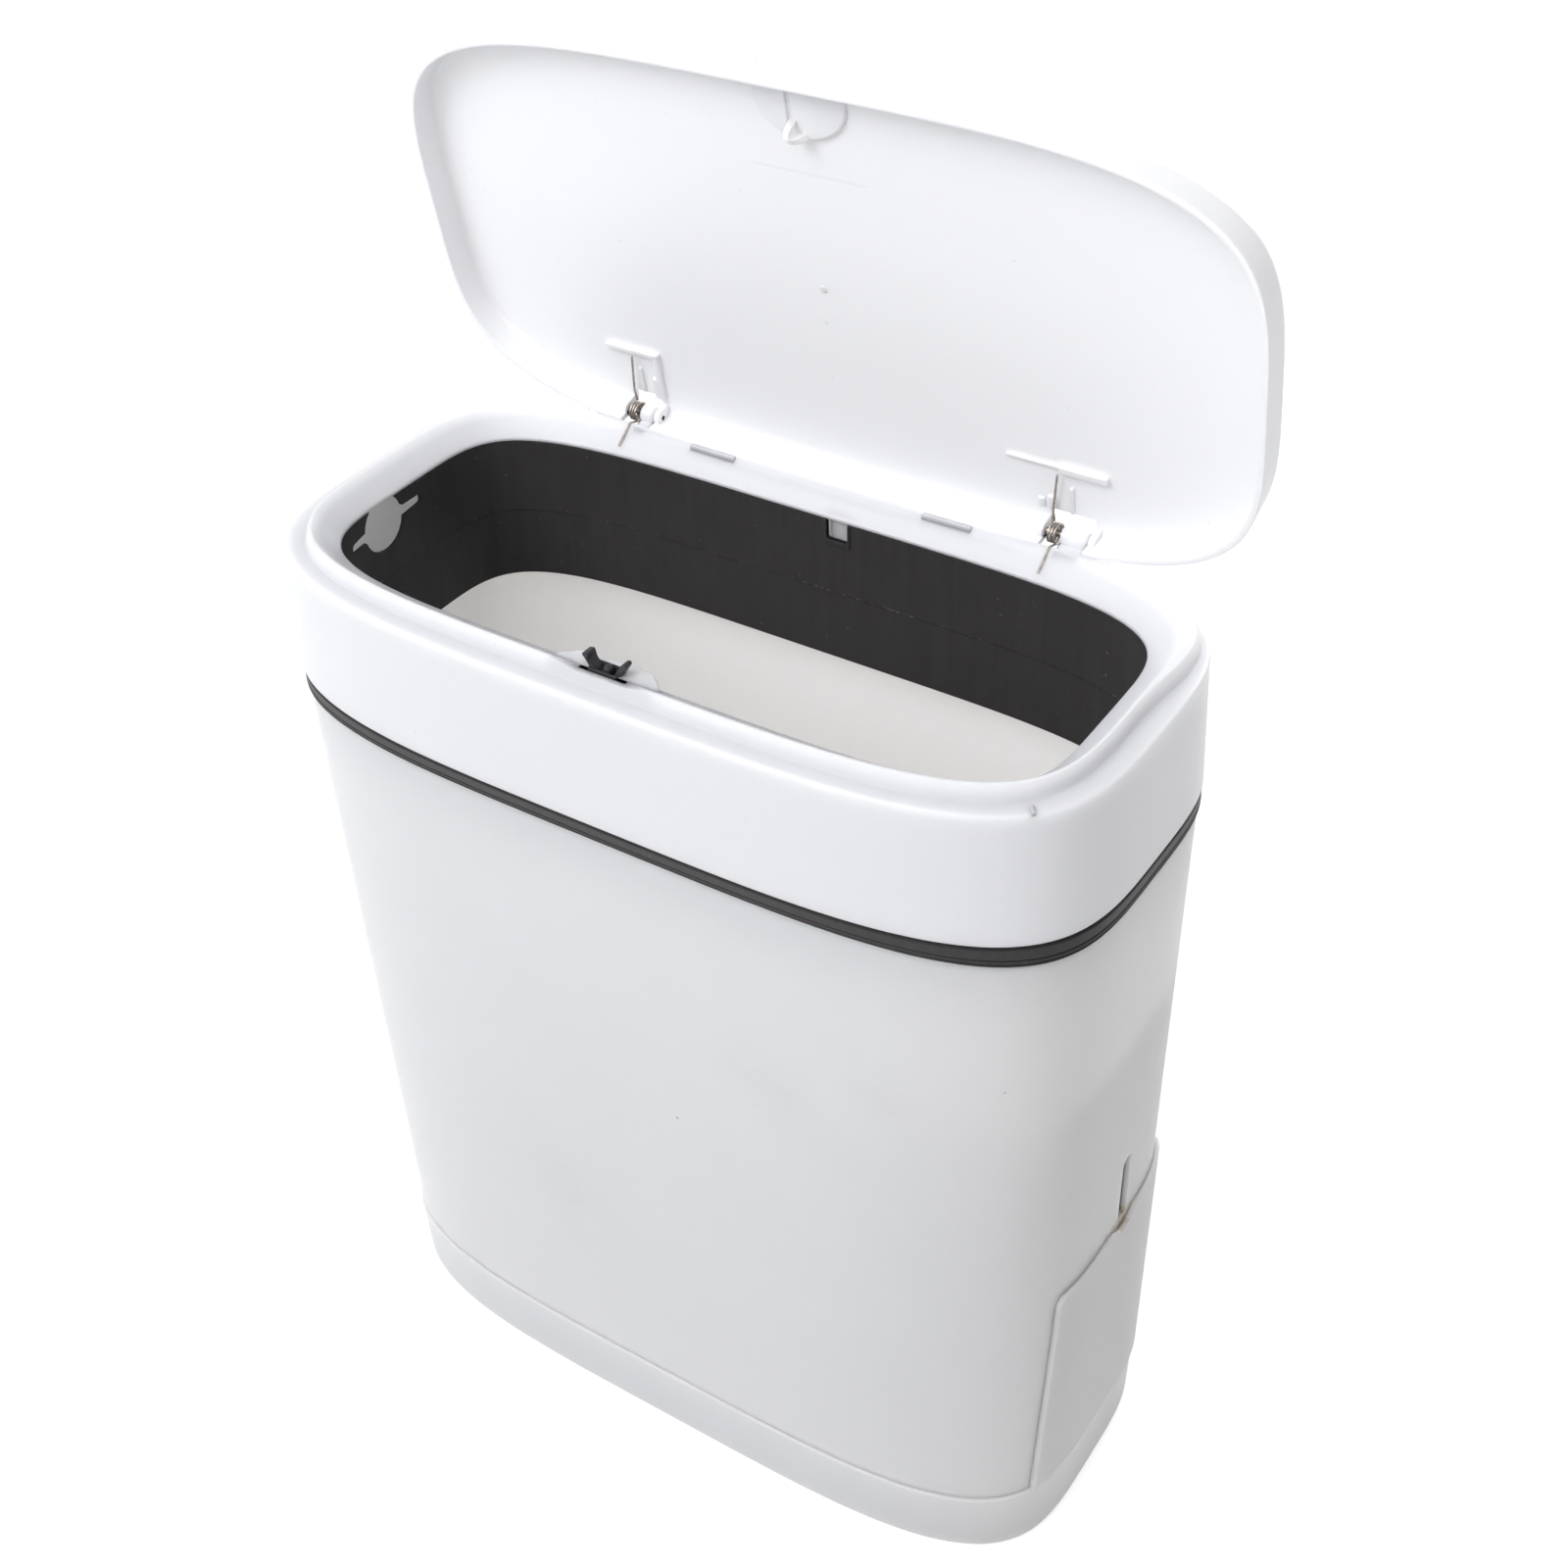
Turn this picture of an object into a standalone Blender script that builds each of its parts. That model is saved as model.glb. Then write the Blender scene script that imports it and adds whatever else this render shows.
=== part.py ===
"""Slim bathroom bin with a push-latch lid and a brush caddy in its right-hand end.

Metres, +Z up, +X along the length to the right, front face towards -Y, lid hinge at +Y.
The origin is the middle of the underside of the base tray. The lid stands open.
"""
import math

import bmesh
import bpy
import numpy as np
from mathutils import Matrix, Vector

# Overall outline, taken at the foot of the collar
HALF_LENGTH = 0.1600
HALF_WIDTH = 0.0787
BODY_POWER = 4.0
COLLAR_POWER = 3.75
RING_POINTS = 72

# Shared fits
GAP = 0.0003
OVERRUN = 0.0040

# Base tray
TRAY_HEIGHT = 0.0313
TRAY_WALL = 0.0026
TRAY_FLOOR = 0.0030
TRAY_DRAFT = 0.0010
TRAY_FOOT_FILLET = 0.0025
TRAY_LIP_ROUND = 0.0008
LIP_PROUD = 0.0010

# Body shell
BODY_TOP = 0.3075
BODY_WALL = 0.0022
BODY_FLOOR = 0.0026
BODY_SETBACK_LENGTH = 0.0013
BODY_SETBACK_WIDTH = 0.0033
BODY_TAPER_LENGTH = 0.0036
BODY_TAPER_WIDTH = 0.0029
SOCKET_FIT = 0.0004

# Bag ring: an outside band, a web and the dark sleeve inside the mouth
BAND_HEIGHT = 0.0087
BAND_WALL = 0.0025
BAND_SETBACK = 0.0008
BAND_RIDGE = 0.0005
WEB_THICKNESS = 0.0022
SLEEVE_WALL = 0.0015
SLEEVE_REVEAL = 0.0002
SLEEVE_DROP = 0.0043
SLEEVE_STEP_HEIGHT = 0.0150
SLEEVE_STEP_DEPTH = 0.0003
RING_SPIGOT = 0.0040
RING_SPIGOT_WALL = 0.0016

# Bag-tuck hole in the left end of the sleeve, and the small window at the back
TUCK_RADIUS = 0.0105
TUCK_Y = -0.0165
TUCK_DROP = 0.0105
TUCK_SLIT_REACH = 0.0195
TUCK_SLIT_HALF = 0.0018
TUCK_SLIT_TIP_HALF = 0.0006
TUCK_SLIT_TILT = math.radians(12)
WINDOW_X = 0.0072
WINDOW_WIDTH = 0.0054
WINDOW_DROP = 0.0010
WINDOW_HEIGHT = 0.0088

# Collar
COLLAR_HEIGHT = 0.0477
COLLAR_WALL = 0.0024
COLLAR_DRAFT = 0.0018
COLLAR_ROUND = 0.0030
CREST_HEIGHT = 0.0056
CREST_INSET_LENGTH = 0.0117
CREST_INSET_WIDTH = 0.0101
CREST_POWER = 4.13
CREST_FLANK = 0.0016
CREST_ROUND = 0.0005
CREST_SHELL = 0.0010
FUNNEL_RUN_LENGTH = 0.0098
FUNNEL_RUN_WIDTH = 0.0116
FUNNEL_DROP = 0.0079
FUNNEL_WALL = 0.0028
MOUTH_POWER = 4.84
MOUTH_LAND = 0.0012
MOUTH_LIP = 0.0035

# Hinge, with its relief in the back of the crest
HINGE_INSET = 0.0059
HINGE_RISE = 0.0068
OPEN_ANGLE = math.radians(80.1)
RELIEF_END_MARGIN = 0.0540
FILLER_END_MARGIN = 0.0680
RELIEF_FRONT = 0.0068
RELIEF_DEPTH = 0.0013
TROUGH_FLOOR = 0.0022
HINGE_RIGHT_FROM_END = 0.0764
HINGE_LEFT_FROM_END = 0.0725
KNUCKLE_RADIUS = 0.0036
KNUCKLE_LEFT_LENGTH = 0.0052
KNUCKLE_RIGHT_LENGTH = 0.0092
KNUCKLE_POST = 0.0052
KNUCKLE_LEAN = math.radians(25)
PIN_RADIUS = 0.0012
BORE_RADIUS = 0.0015
LUG_WIDTH = 0.0024
LUG_HALF_DEPTH = 0.0034
LUG_DROP = 0.0030
LUG_SEAT = 0.0010
NOTCH_FRONT = 0.0062
HINGE_SIDE_GAP = 0.0004
ROUND_SIDES = 24

# Torsion springs on the hinge pins
WIRE_RADIUS = 0.00045
COIL_RADIUS = 0.0029
COIL_PITCH = 0.00145
COIL_TURNS = 3
COIL_POINTS = 10
LEG_CLEARANCE = 0.0005
LOWER_LEG_END = 0.0023
UPPER_LEG_LENGTH = 0.0215
UPPER_LEG_LEAN = 0.0021

# Stop pads on the back edge of the funnel
PAD_WIDTH = 0.0020
PAD_RISE = 0.0010
PAD_LENGTH = 0.0190
PAD_LEFT_FROM_HINGE = 0.0385
PAD_RIGHT_FROM_HINGE = 0.0368

# Lid
LID_POWER = 4.10
LID_BACK_POWER = 3.43
LIP_BACK_POWER = 3.94
LID_OVERHANG = 0.0002
LID_LIP = 0.0020
LID_LIP_ROUND = 0.0005
LID_FLARE = 0.0012
LID_SIDE_HEIGHT = 0.0080
LID_ROUND = 0.0045
LID_ROUND_HEIGHT = 0.0050
LID_CEILING = 0.0108
LID_INNER_ROUND = 0.0025
LID_DOME = 0.0012
LID_DOME_INSET = 0.0300
LID_FLAT_INSET = 0.0520
LID_DOME_SHARE = 0.6
BAR_WIDTH = 0.0018
BAR_DEPTH = 0.0016
BAR_FROM_HINGE = 0.0243
BAR_LEFT_LEAD = 0.0115
BAR_LEFT_LENGTH = 0.0225
BAR_RIGHT_LEAD = 0.0192
BAR_RIGHT_LENGTH = 0.0373
RIB_WIDTH = 0.0014
RIB_FROM_HINGE = 0.0171
RIB_LEFT_OFFSET = 0.0017
RIB_RIGHT_OFFSET = 0.0046

# Striker under the lid, above the latch, and the half-moon pad that it hangs from
CATCH_PAD_HALF_LENGTH = 0.0180
CATCH_PAD_REACH = 0.0157
CATCH_PAD_SETBACK = 0.0066
CATCH_PAD_THICKNESS = 0.0022
CATCH_SLIT_X = -0.0042
CATCH_SLIT_WIDTH = 0.0015
CATCH_SLIT_LENGTH = 0.0077
STRIKER_RADIUS = 0.0012
STRIKER_HEAD = 0.0016
STRIKER_HEAD_HEIGHT = 0.0018

# Push latch and the boss that holds it
LATCH_SLEEVE_WALL = 0.0012
LATCH_HALF_LENGTH = 0.0057
LATCH_HALF_WIDTH = 0.0029
LATCH_WALL = 0.0008
LATCH_DEPTH = 0.0170
LATCH_PROUD = 0.0007
BOSS_DROP = 0.0038
BOSS_THICKNESS = 0.0050
BOSS_HALF_LENGTH = 0.0127
BOSS_FOOT_HALF_LENGTH = 0.0200
BOSS_CHAMFER = 0.0060
BOSS_REACH = 0.0004
BOSS_WALL = 0.0016
PLUNGER_FIT = 0.0003
PLUNGER_HEIGHT = 0.0050
PLUNGER_SINK = 0.0016
KNOB_RADIUS = 0.0012
KNOB_RISE = 0.0006
CLAW_LENGTH = 0.0070
CLAW_THICKNESS = 0.0011
CLAW_HOOK = 0.0007
CLAW_HOOK_HEIGHT = 0.0012
CLAW_HALF_WIDTH = 0.0017
CLAW_PIVOT_X = 0.0026
CLAW_ANGLE = math.radians(38)
LATCH_SPRING_RADIUS = 0.0014
LATCH_SPRING_WIRE = 0.0003
LATCH_SPRING_TURNS = 5
SMALL_SIDES = 12

# Brush caddy: its panel, opening, slot and thumb notch
CADDY_Y = 0.0056
PANEL_TOP = 0.1405
PANEL_TOP_HALF_WIDTH = 0.0448
PANEL_FOOT_HALF_WIDTH = 0.0497
PANEL_CORNER = 0.0040
PANEL_OFFSET = 0.0004
PANEL_THICKNESS = 0.0018
PANEL_LAP = 0.0035
PANEL_COLUMNS = 16
THUMB_WIDTH = 0.0160
THUMB_DEPTH = 0.0030
SLOT_WIDTH = 0.0064
SLOT_TOP = 0.1735

# Bay that closes the caddy off from the waste
BAY_WALL = 0.0020
BAY_DEPTH = 0.0780
BAY_HALF_WIDTH = 0.0425
BAY_TOP = 0.2355
BAY_SHELF = 0.0017
BAY_CORNER = 0.0080
BAY_LEG_SETBACK = 0.0100
ARC_STEPS = 5

# Cup
CUP_WALL = 0.0020
CUP_SIDE_CLEARANCE = 0.0015
CUP_BACK_CLEARANCE = 0.0015
CUP_HEIGHT = 0.0820

# Brush
BRISTLE_RADIUS = 0.0270
BRISTLE_HEIGHT = 0.0600
BRISTLE_EDGE = 0.0060
STEM_RADIUS = 0.0040
STEM_RISE = 0.0060
STEM_FOOT = 0.0060
COLLET_RADIUS = 0.0130
COLLET_HEIGHT = 0.0040
GRIP_RADIUS = 0.0065
BLADE_FIT = 0.0012
BLADE_LENGTH = 0.0440
BLADE_SETBACK = 0.0065
BLADE_CORNER = 0.0050
BLADE_HOLE_RADIUS = 0.0085
BLADE_TOP_GAP = 0.0026

# Colours
WHITE = (0.87, 0.87, 0.90)
WARM_WHITE = (0.75, 0.73, 0.72)
BLACK = (0.028, 0.028, 0.030)
STEEL = (0.42, 0.36, 0.30)
GREY_BLUE = (0.30, 0.38, 0.42)
PALE = (0.80, 0.80, 0.78)

# Heights worked out from the stack
band_foot = BODY_TOP + GAP
band_top = band_foot + BAND_HEIGHT
collar_foot = band_top + GAP
ledge = collar_foot + COLLAR_HEIGHT
crest_top = ledge + CREST_HEIGHT
mouth_edge = crest_top - FUNNEL_DROP
mouth_under = mouth_edge - MOUTH_LAND
shoulder = TRAY_HEIGHT + GAP
body_foot = TRAY_FLOOR + GAP
bin_floor = body_foot + BODY_FLOOR
inner_shoulder = shoulder + BODY_WALL
lid_seat = ledge + GAP
hinge_y = HALF_WIDTH - HINGE_INSET
hinge_z = ledge + HINGE_RISE
ceiling = lid_seat + LID_CEILING
relief_floor = ledge - RELIEF_DEPTH
relief_front_y = hinge_y - RELIEF_FRONT
shelf_foot = inner_shoulder + GAP
shelf_top = shelf_foot + BAY_SHELF
opening_top = PANEL_TOP - PANEL_LAP
cup_foot = shelf_top + GAP
cup_floor = cup_foot + CUP_WALL
bay_ceiling = BAY_TOP - BAY_WALL


def grow(outline, amount):
    """The same rounded rectangle, larger all round by the amount."""
    half_length, half_width, power = outline
    return (half_length + amount, half_width + amount, power)


# Outlines: half length, half width and the power that rounds the corners
collar_outline = (HALF_LENGTH, HALF_WIDTH, COLLAR_POWER)
ledge_outline = grow(collar_outline, -COLLAR_DRAFT)
crest_outline = (HALF_LENGTH - CREST_INSET_LENGTH, HALF_WIDTH - CREST_INSET_WIDTH, CREST_POWER)
mouth_outline = (
    crest_outline[0] - FUNNEL_RUN_LENGTH,
    crest_outline[1] - FUNNEL_RUN_WIDTH,
    MOUTH_POWER,
)
body_top_outline = (
    HALF_LENGTH - BODY_SETBACK_LENGTH,
    HALF_WIDTH - BODY_SETBACK_WIDTH,
    BODY_POWER,
)
body_foot_outline = (
    body_top_outline[0] - BODY_TAPER_LENGTH,
    body_top_outline[1] - BODY_TAPER_WIDTH,
    BODY_POWER,
)
tray_lip_outline = grow(body_foot_outline, LIP_PROUD)
tray_foot_outline = grow(tray_lip_outline, -TRAY_DRAFT)
socket_outline = grow(tray_lip_outline, -TRAY_WALL - SOCKET_FIT)
sleeve_outline = grow(mouth_outline, SLEEVE_REVEAL + SLEEVE_WALL)
lid_outline = (ledge_outline[0] + LID_OVERHANG, ledge_outline[1] + LID_OVERHANG, LID_POWER)

# Where each hinge's coil lies and how long its knuckle is
hinge_left_x = -(HALF_LENGTH - HINGE_LEFT_FROM_END)
hinge_right_x = HALF_LENGTH - HINGE_RIGHT_FROM_END
hinges = ((hinge_left_x, KNUCKLE_LEFT_LENGTH), (hinge_right_x, KNUCKLE_RIGHT_LENGTH))
relief_half_length = HALF_LENGTH - RELIEF_END_MARGIN
filler_half_length = HALF_LENGTH - FILLER_END_MARGIN


def ring(outline, height, back_power=None):
    """Points round a rounded rectangle at one height. Its back half can have a power of its own."""
    half_length, half_width, power = outline
    points = []
    for step in range(RING_POINTS):
        turn = 2 * math.pi * step / RING_POINTS
        along, across = math.cos(turn), math.sin(turn)
        share = 2 / (back_power if back_power and across > 0 else power)
        x = math.copysign(abs(along) ** share, along) * half_length
        y = math.copysign(abs(across) ** share, across) * half_width
        points.append((x, y, height))
    return points


def end_x(outline, y):
    """How far out the rounded rectangle's right-hand end lies at this Y."""
    half_length, half_width, power = outline
    return half_length * (1 - abs(y / half_width) ** power) ** (1 / power)


def body_outline(height):
    """Outside of the body shell at a height."""
    share = (height - shoulder) / (BODY_TOP - shoulder)
    half_length = body_foot_outline[0] + BODY_TAPER_LENGTH * share
    half_width = body_foot_outline[1] + BODY_TAPER_WIDTH * share
    return (half_length, half_width, BODY_POWER)


def plastic(name, colour, roughness, metallic=0.0):
    """A plain shader material."""
    material = bpy.data.materials.new(name)
    material.use_nodes = True
    shader = material.node_tree.nodes["Principled BSDF"]
    shader.inputs["Base Color"].default_value = (*colour, 1.0)
    shader.inputs["Roughness"].default_value = roughness
    shader.inputs["Metallic"].default_value = metallic
    material.diffuse_color = (*colour, 1.0)
    return material


def mesh_object(name, points, faces, material=None, parent=None, origin=(0, 0, 0)):
    """A closed mesh whose points are given in the frame of the closed, assembled bin."""
    offset = Vector(origin)
    mesh = bpy.data.meshes.new(name)
    mesh.from_pydata([Vector(point) - offset for point in points], [], faces)
    work = bmesh.new()
    work.from_mesh(mesh)
    bmesh.ops.recalc_face_normals(work, faces=work.faces)
    work.to_mesh(mesh)
    work.free()
    thing = bpy.data.objects.new(name, mesh)
    bpy.context.scene.collection.objects.link(thing)
    if parent is not None:
        thing.parent = parent
    else:
        thing.location = offset
    if material is not None:
        mesh.materials.append(material)
    return thing


def finish(thing):
    """Smooth shading with creases kept at the edges."""
    thing.data.shade_smooth()
    thing.data.set_sharp_from_angle(angle=math.radians(35))
    return thing


def loft(name, rings, material=None, closed=False, **place):
    """Skin a list of rings. A closed loft is a hoop, an open one has its two ends capped."""
    count = len(rings[0])
    points = [point for one in rings for point in one]
    faces = []
    last = len(rings) if closed else len(rings) - 1
    for level in range(last):
        here, above = level * count, ((level + 1) % len(rings)) * count
        for step in range(count):
            following = (step + 1) % count
            faces.append((here + step, here + following, above + following, above + step))
    if not closed:
        faces.append(tuple(range(count - 1, -1, -1)))
        faces.append(tuple(range((len(rings) - 1) * count, len(rings) * count)))
    return mesh_object(name, points, faces, material, **place)


def prism(name, profile, low, high, axis="Z", material=None, **place):
    """A flat profile drawn out along an axis, between two places on it."""
    orders = {"X": (2, 0, 1), "Y": (0, 2, 1), "Z": (0, 1, 2)}
    rings = []
    for level in (low, high):
        row = [(first, second, level) for first, second in profile]
        rings.append([tuple(point[index] for index in orders[axis]) for point in row])
    return loft(name, rings, material, **place)


def box(name, low, high, material=None, **place):
    """A block between two corners."""
    corners = [(low[0], low[1]), (high[0], low[1]), (high[0], high[1]), (low[0], high[1])]
    return prism(name, corners, low[2], high[2], "Z", material, **place)


def circle(centre, radius, sides, start=0.0):
    """Points round a circle in a plane."""
    points = []
    for step in range(sides):
        turn = start + 2 * math.pi * step / sides
        points.append((centre[0] + radius * math.cos(turn), centre[1] + radius * math.sin(turn)))
    return points


def combine(target, tool, operation):
    """Join a shape to the target, or cut it away, and tidy the tool up."""
    modifier = target.modifiers.new("combine", "BOOLEAN")
    modifier.operation = operation
    modifier.solver = "EXACT"
    modifier.object = tool
    bpy.context.view_layer.update()
    graph = bpy.context.evaluated_depsgraph_get()
    result = bpy.data.meshes.new_from_object(target.evaluated_get(graph))
    target.modifiers.clear()
    old = target.data
    target.data = result
    bpy.data.meshes.remove(old)
    shape = tool.data
    bpy.data.objects.remove(tool)
    bpy.data.meshes.remove(shape)


def join(target, tool):
    combine(target, tool, "UNION")


def cut(target, tool):
    combine(target, tool, "DIFFERENCE")


def empty(name, location, parent=None, rotation=0.0):
    """A turning point that pieces hang from, turned about X."""
    point = bpy.data.objects.new(name, None)
    bpy.context.scene.collection.objects.link(point)
    point.location = location
    point.rotation_euler = (rotation, 0, 0)
    point.parent = parent
    return point


def base_tray(material):
    """Tray that the body stands in, with a rounded foot and lip."""
    rings = []
    for step in range(4):
        turn = math.pi / 2 * step / 3
        inset = TRAY_FOOT_FILLET * (1 - math.sin(turn))
        rings.append(ring(grow(tray_foot_outline, -inset), TRAY_FOOT_FILLET * (1 - math.cos(turn))))
    rings.append(ring(tray_lip_outline, TRAY_HEIGHT - TRAY_LIP_ROUND))
    rings.append(ring(grow(tray_lip_outline, -TRAY_LIP_ROUND), TRAY_HEIGHT))
    rings.append(ring(grow(tray_lip_outline, -TRAY_WALL), TRAY_HEIGHT))
    rings.append(ring(grow(tray_lip_outline, -TRAY_WALL), TRAY_FLOOR))
    return finish(loft("base_tray", rings, material))


def body_shell(material):
    """Tapered body with its floor, the caddy opening and the handle slot."""
    inside = grow(body_foot_outline, -BODY_WALL)
    rings = [
        ring(socket_outline, body_foot),
        ring(socket_outline, shoulder),
        ring(body_foot_outline, shoulder),
        ring(body_top_outline, BODY_TOP),
        ring(grow(body_top_outline, -BODY_WALL), BODY_TOP),
        ring(inside, inner_shoulder),
        ring(grow(socket_outline, -BODY_WALL), inner_shoulder),
        ring(grow(socket_outline, -BODY_WALL), bin_floor),
    ]
    shell = loft("body_shell", rings, material)
    half_opening = PANEL_TOP_HALF_WIDTH - PANEL_LAP
    near = end_x(inside, CADDY_Y + half_opening) - OVERRUN
    far = HALF_LENGTH + OVERRUN
    opening = box(
        "opening",
        (near, CADDY_Y - half_opening, shelf_top),
        (far, CADDY_Y + half_opening, opening_top),
    )
    cut(shell, opening)
    half_slot = SLOT_WIDTH / 2
    profile = [(CADDY_Y + half_slot, opening_top - OVERRUN)]
    for step in range(ARC_STEPS + 1):
        turn = math.pi * step / ARC_STEPS
        across = CADDY_Y + half_slot * math.cos(turn)
        profile.append((across, SLOT_TOP - half_slot + half_slot * math.sin(turn)))
    profile.append((CADDY_Y - half_slot, opening_top - OVERRUN))
    cut(shell, prism("slot", profile, near, far, "X"))
    return finish(shell)


def bag_ring(material):
    """Hoop clamped between body and collar: outside band, web and inner sleeve."""
    band_out = grow(body_top_outline, GAP)
    band_head = grow(collar_outline, -BAND_SETBACK)
    band_in = grow(band_head, -BAND_WALL)
    spigot_out = grow(body_top_outline, -BODY_WALL - SOCKET_FIT)
    spigot_in = grow(spigot_out, -RING_SPIGOT_WALL)
    sleeve_in = grow(sleeve_outline, -SLEEVE_WALL)
    web_top = band_foot + WEB_THICKNESS
    sleeve_top = mouth_under - GAP
    sleeve_foot = band_foot - SLEEVE_DROP
    step_height = band_top + SLEEVE_STEP_HEIGHT
    middle = tuple((low + high) / 2 for low, high in zip(band_out, band_head))
    spigot_foot = band_foot - RING_SPIGOT
    rings = [
        ring(band_out, band_foot),
        ring(grow(middle, BAND_RIDGE), band_foot + BAND_HEIGHT / 2),
        ring(band_head, band_top),
        ring(band_in, band_top),
        ring(band_in, web_top),
        ring(sleeve_outline, web_top),
        ring(sleeve_outline, sleeve_top),
        ring(sleeve_in, sleeve_top),
        ring(sleeve_in, step_height),
        ring(grow(sleeve_in, SLEEVE_STEP_DEPTH), step_height - SLEEVE_STEP_DEPTH),
        ring(grow(sleeve_in, SLEEVE_STEP_DEPTH), sleeve_foot),
        ring(sleeve_outline, sleeve_foot),
        ring(sleeve_outline, band_foot),
        ring(spigot_in, band_foot),
        ring(spigot_in, spigot_foot),
        ring(spigot_out, spigot_foot),
        ring(spigot_out, band_foot),
    ]
    hoop = loft("bag_ring", rings, material, closed=True)
    end = sleeve_outline[0]
    tuck_z = sleeve_top - TUCK_DROP
    hole = circle((TUCK_Y, tuck_z), TUCK_RADIUS, ROUND_SIDES)
    cut(hoop, prism("tuck", hole, -end - OVERRUN, -end + OVERRUN, "X"))
    lean, rise = math.cos(TUCK_SLIT_TILT), math.sin(TUCK_SLIT_TILT)
    slit = []
    for reach, half in ((-1, TUCK_SLIT_TIP_HALF), (0, TUCK_SLIT_HALF), (1, TUCK_SLIT_TIP_HALF)):
        slit.append((TUCK_SLIT_REACH * reach, half))
    outline = slit + [(reach, -half) for reach, half in reversed(slit)]
    turned = [(TUCK_Y + u * lean - v * rise, tuck_z + u * rise + v * lean) for u, v in outline]
    cut(hoop, prism("slit", turned, -end - OVERRUN, -end + OVERRUN, "X"))
    wall = sleeve_outline[1]
    window = box(
        "window",
        (WINDOW_X - WINDOW_WIDTH / 2, wall - OVERRUN, sleeve_top - WINDOW_DROP - WINDOW_HEIGHT),
        (WINDOW_X + WINDOW_WIDTH / 2, wall + OVERRUN, sleeve_top - WINDOW_DROP),
    )
    cut(hoop, window)
    return finish(hoop)


def side_y(outline, x):
    """How far back the rounded rectangle's long side lies at this X."""
    half_length, half_width, power = outline
    return half_width * (1 - abs(x / half_length) ** power) ** (1 / power)


def funnel_height(x, y):
    """Height of the sloping deck along a long side."""
    low, high = side_y(mouth_outline, x), side_y(crest_outline, x)
    return mouth_edge + FUNNEL_DROP * (y - low) / (high - low)


def latch_place():
    """Y of the middle of the latch, clear of the sleeve behind it."""
    return -(sleeve_outline[1] + GAP + LATCH_SLEEVE_WALL + GAP + LATCH_HALF_WIDTH)


def collar(material):
    """Rim with a raised crest, the funnel down to the mouth, hinge knuckles and the latch boss."""
    inner_wall = grow(ledge_outline, -COLLAR_WALL)
    round_in = COLLAR_ROUND * (1 - math.cos(math.pi / 4))
    rings = [
        ring(collar_outline, collar_foot),
        ring(ledge_outline, ledge - COLLAR_ROUND),
        ring(grow(ledge_outline, -round_in), ledge - round_in),
        ring(grow(ledge_outline, -COLLAR_ROUND), ledge),
        ring(grow(crest_outline, CREST_FLANK), ledge),
        ring(grow(crest_outline, CREST_ROUND), crest_top - CREST_ROUND),
        ring(grow(crest_outline, -CREST_ROUND), crest_top),
        ring(mouth_outline, mouth_edge),
        ring(mouth_outline, mouth_under),
        ring(grow(mouth_outline, MOUTH_LIP), mouth_under),
        ring(grow(crest_outline, -CREST_SHELL), crest_top - CREST_SHELL - FUNNEL_WALL),
        ring(grow(crest_outline, -CREST_SHELL), ledge - COLLAR_WALL),
        ring(inner_wall, ledge - COLLAR_WALL),
        ring(grow(collar_outline, -COLLAR_WALL), collar_foot),
    ]
    rim = loft("collar", rings, material, closed=True)
    add_hinge_seat(rim)
    add_latch_boss(rim)
    return finish(rim)


def add_hinge_seat(rim):
    """Relief behind the funnel's back edge, with two knuckles and two stop pads."""
    filler = box(
        "filler",
        (-filler_half_length, relief_front_y - TROUGH_FLOOR, relief_floor - TROUGH_FLOOR),
        (filler_half_length, crest_outline[1], funnel_height(0, relief_front_y - TROUGH_FLOOR) - GAP),
    )
    join(rim, filler)
    relief = box(
        "relief",
        (-relief_half_length, relief_front_y, relief_floor),
        (relief_half_length, HALF_WIDTH + OVERRUN, crest_top + OVERRUN),
    )
    cut(rim, relief)
    for place, length in hinges:
        start = place + coil_half_length() + HINGE_SIDE_GAP
        foot = relief_floor - TROUGH_FLOOR / 2
        deck_y = relief_front_y - TROUGH_FLOOR / 2
        profile = [(deck_y, foot), (hinge_y + KNUCKLE_POST / 2, foot)]
        reach = math.asin(KNUCKLE_POST / 2 / KNUCKLE_RADIUS)
        sweep = math.pi + math.pi / 2 - reach + KNUCKLE_LEAN
        for step in range(ROUND_SIDES - 3):
            turn = -math.pi / 2 + reach + sweep * step / (ROUND_SIDES - 4)
            y = hinge_y + KNUCKLE_RADIUS * math.cos(turn)
            profile.append((y, hinge_z + KNUCKLE_RADIUS * math.sin(turn)))
        profile.append((deck_y, funnel_height(start, deck_y) - GAP))
        join(rim, prism("knuckle", profile, start, start + length, "X"))
        bore = circle((hinge_y, hinge_z), BORE_RADIUS, ROUND_SIDES)
        cut(rim, prism("bore", bore, start - GAP, start + length + GAP, "X"))
    for place in (hinge_left_x + PAD_LEFT_FROM_HINGE, hinge_right_x - PAD_RIGHT_FROM_HINGE):
        top = funnel_height(place, relief_front_y) + PAD_RISE
        pad = box(
            "pad",
            (place - PAD_LENGTH / 2, relief_front_y - PAD_WIDTH, top - PAD_RISE - FUNNEL_WALL / 2),
            (place + PAD_LENGTH / 2, relief_front_y - GAP, top),
        )
        join(rim, pad)


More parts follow.
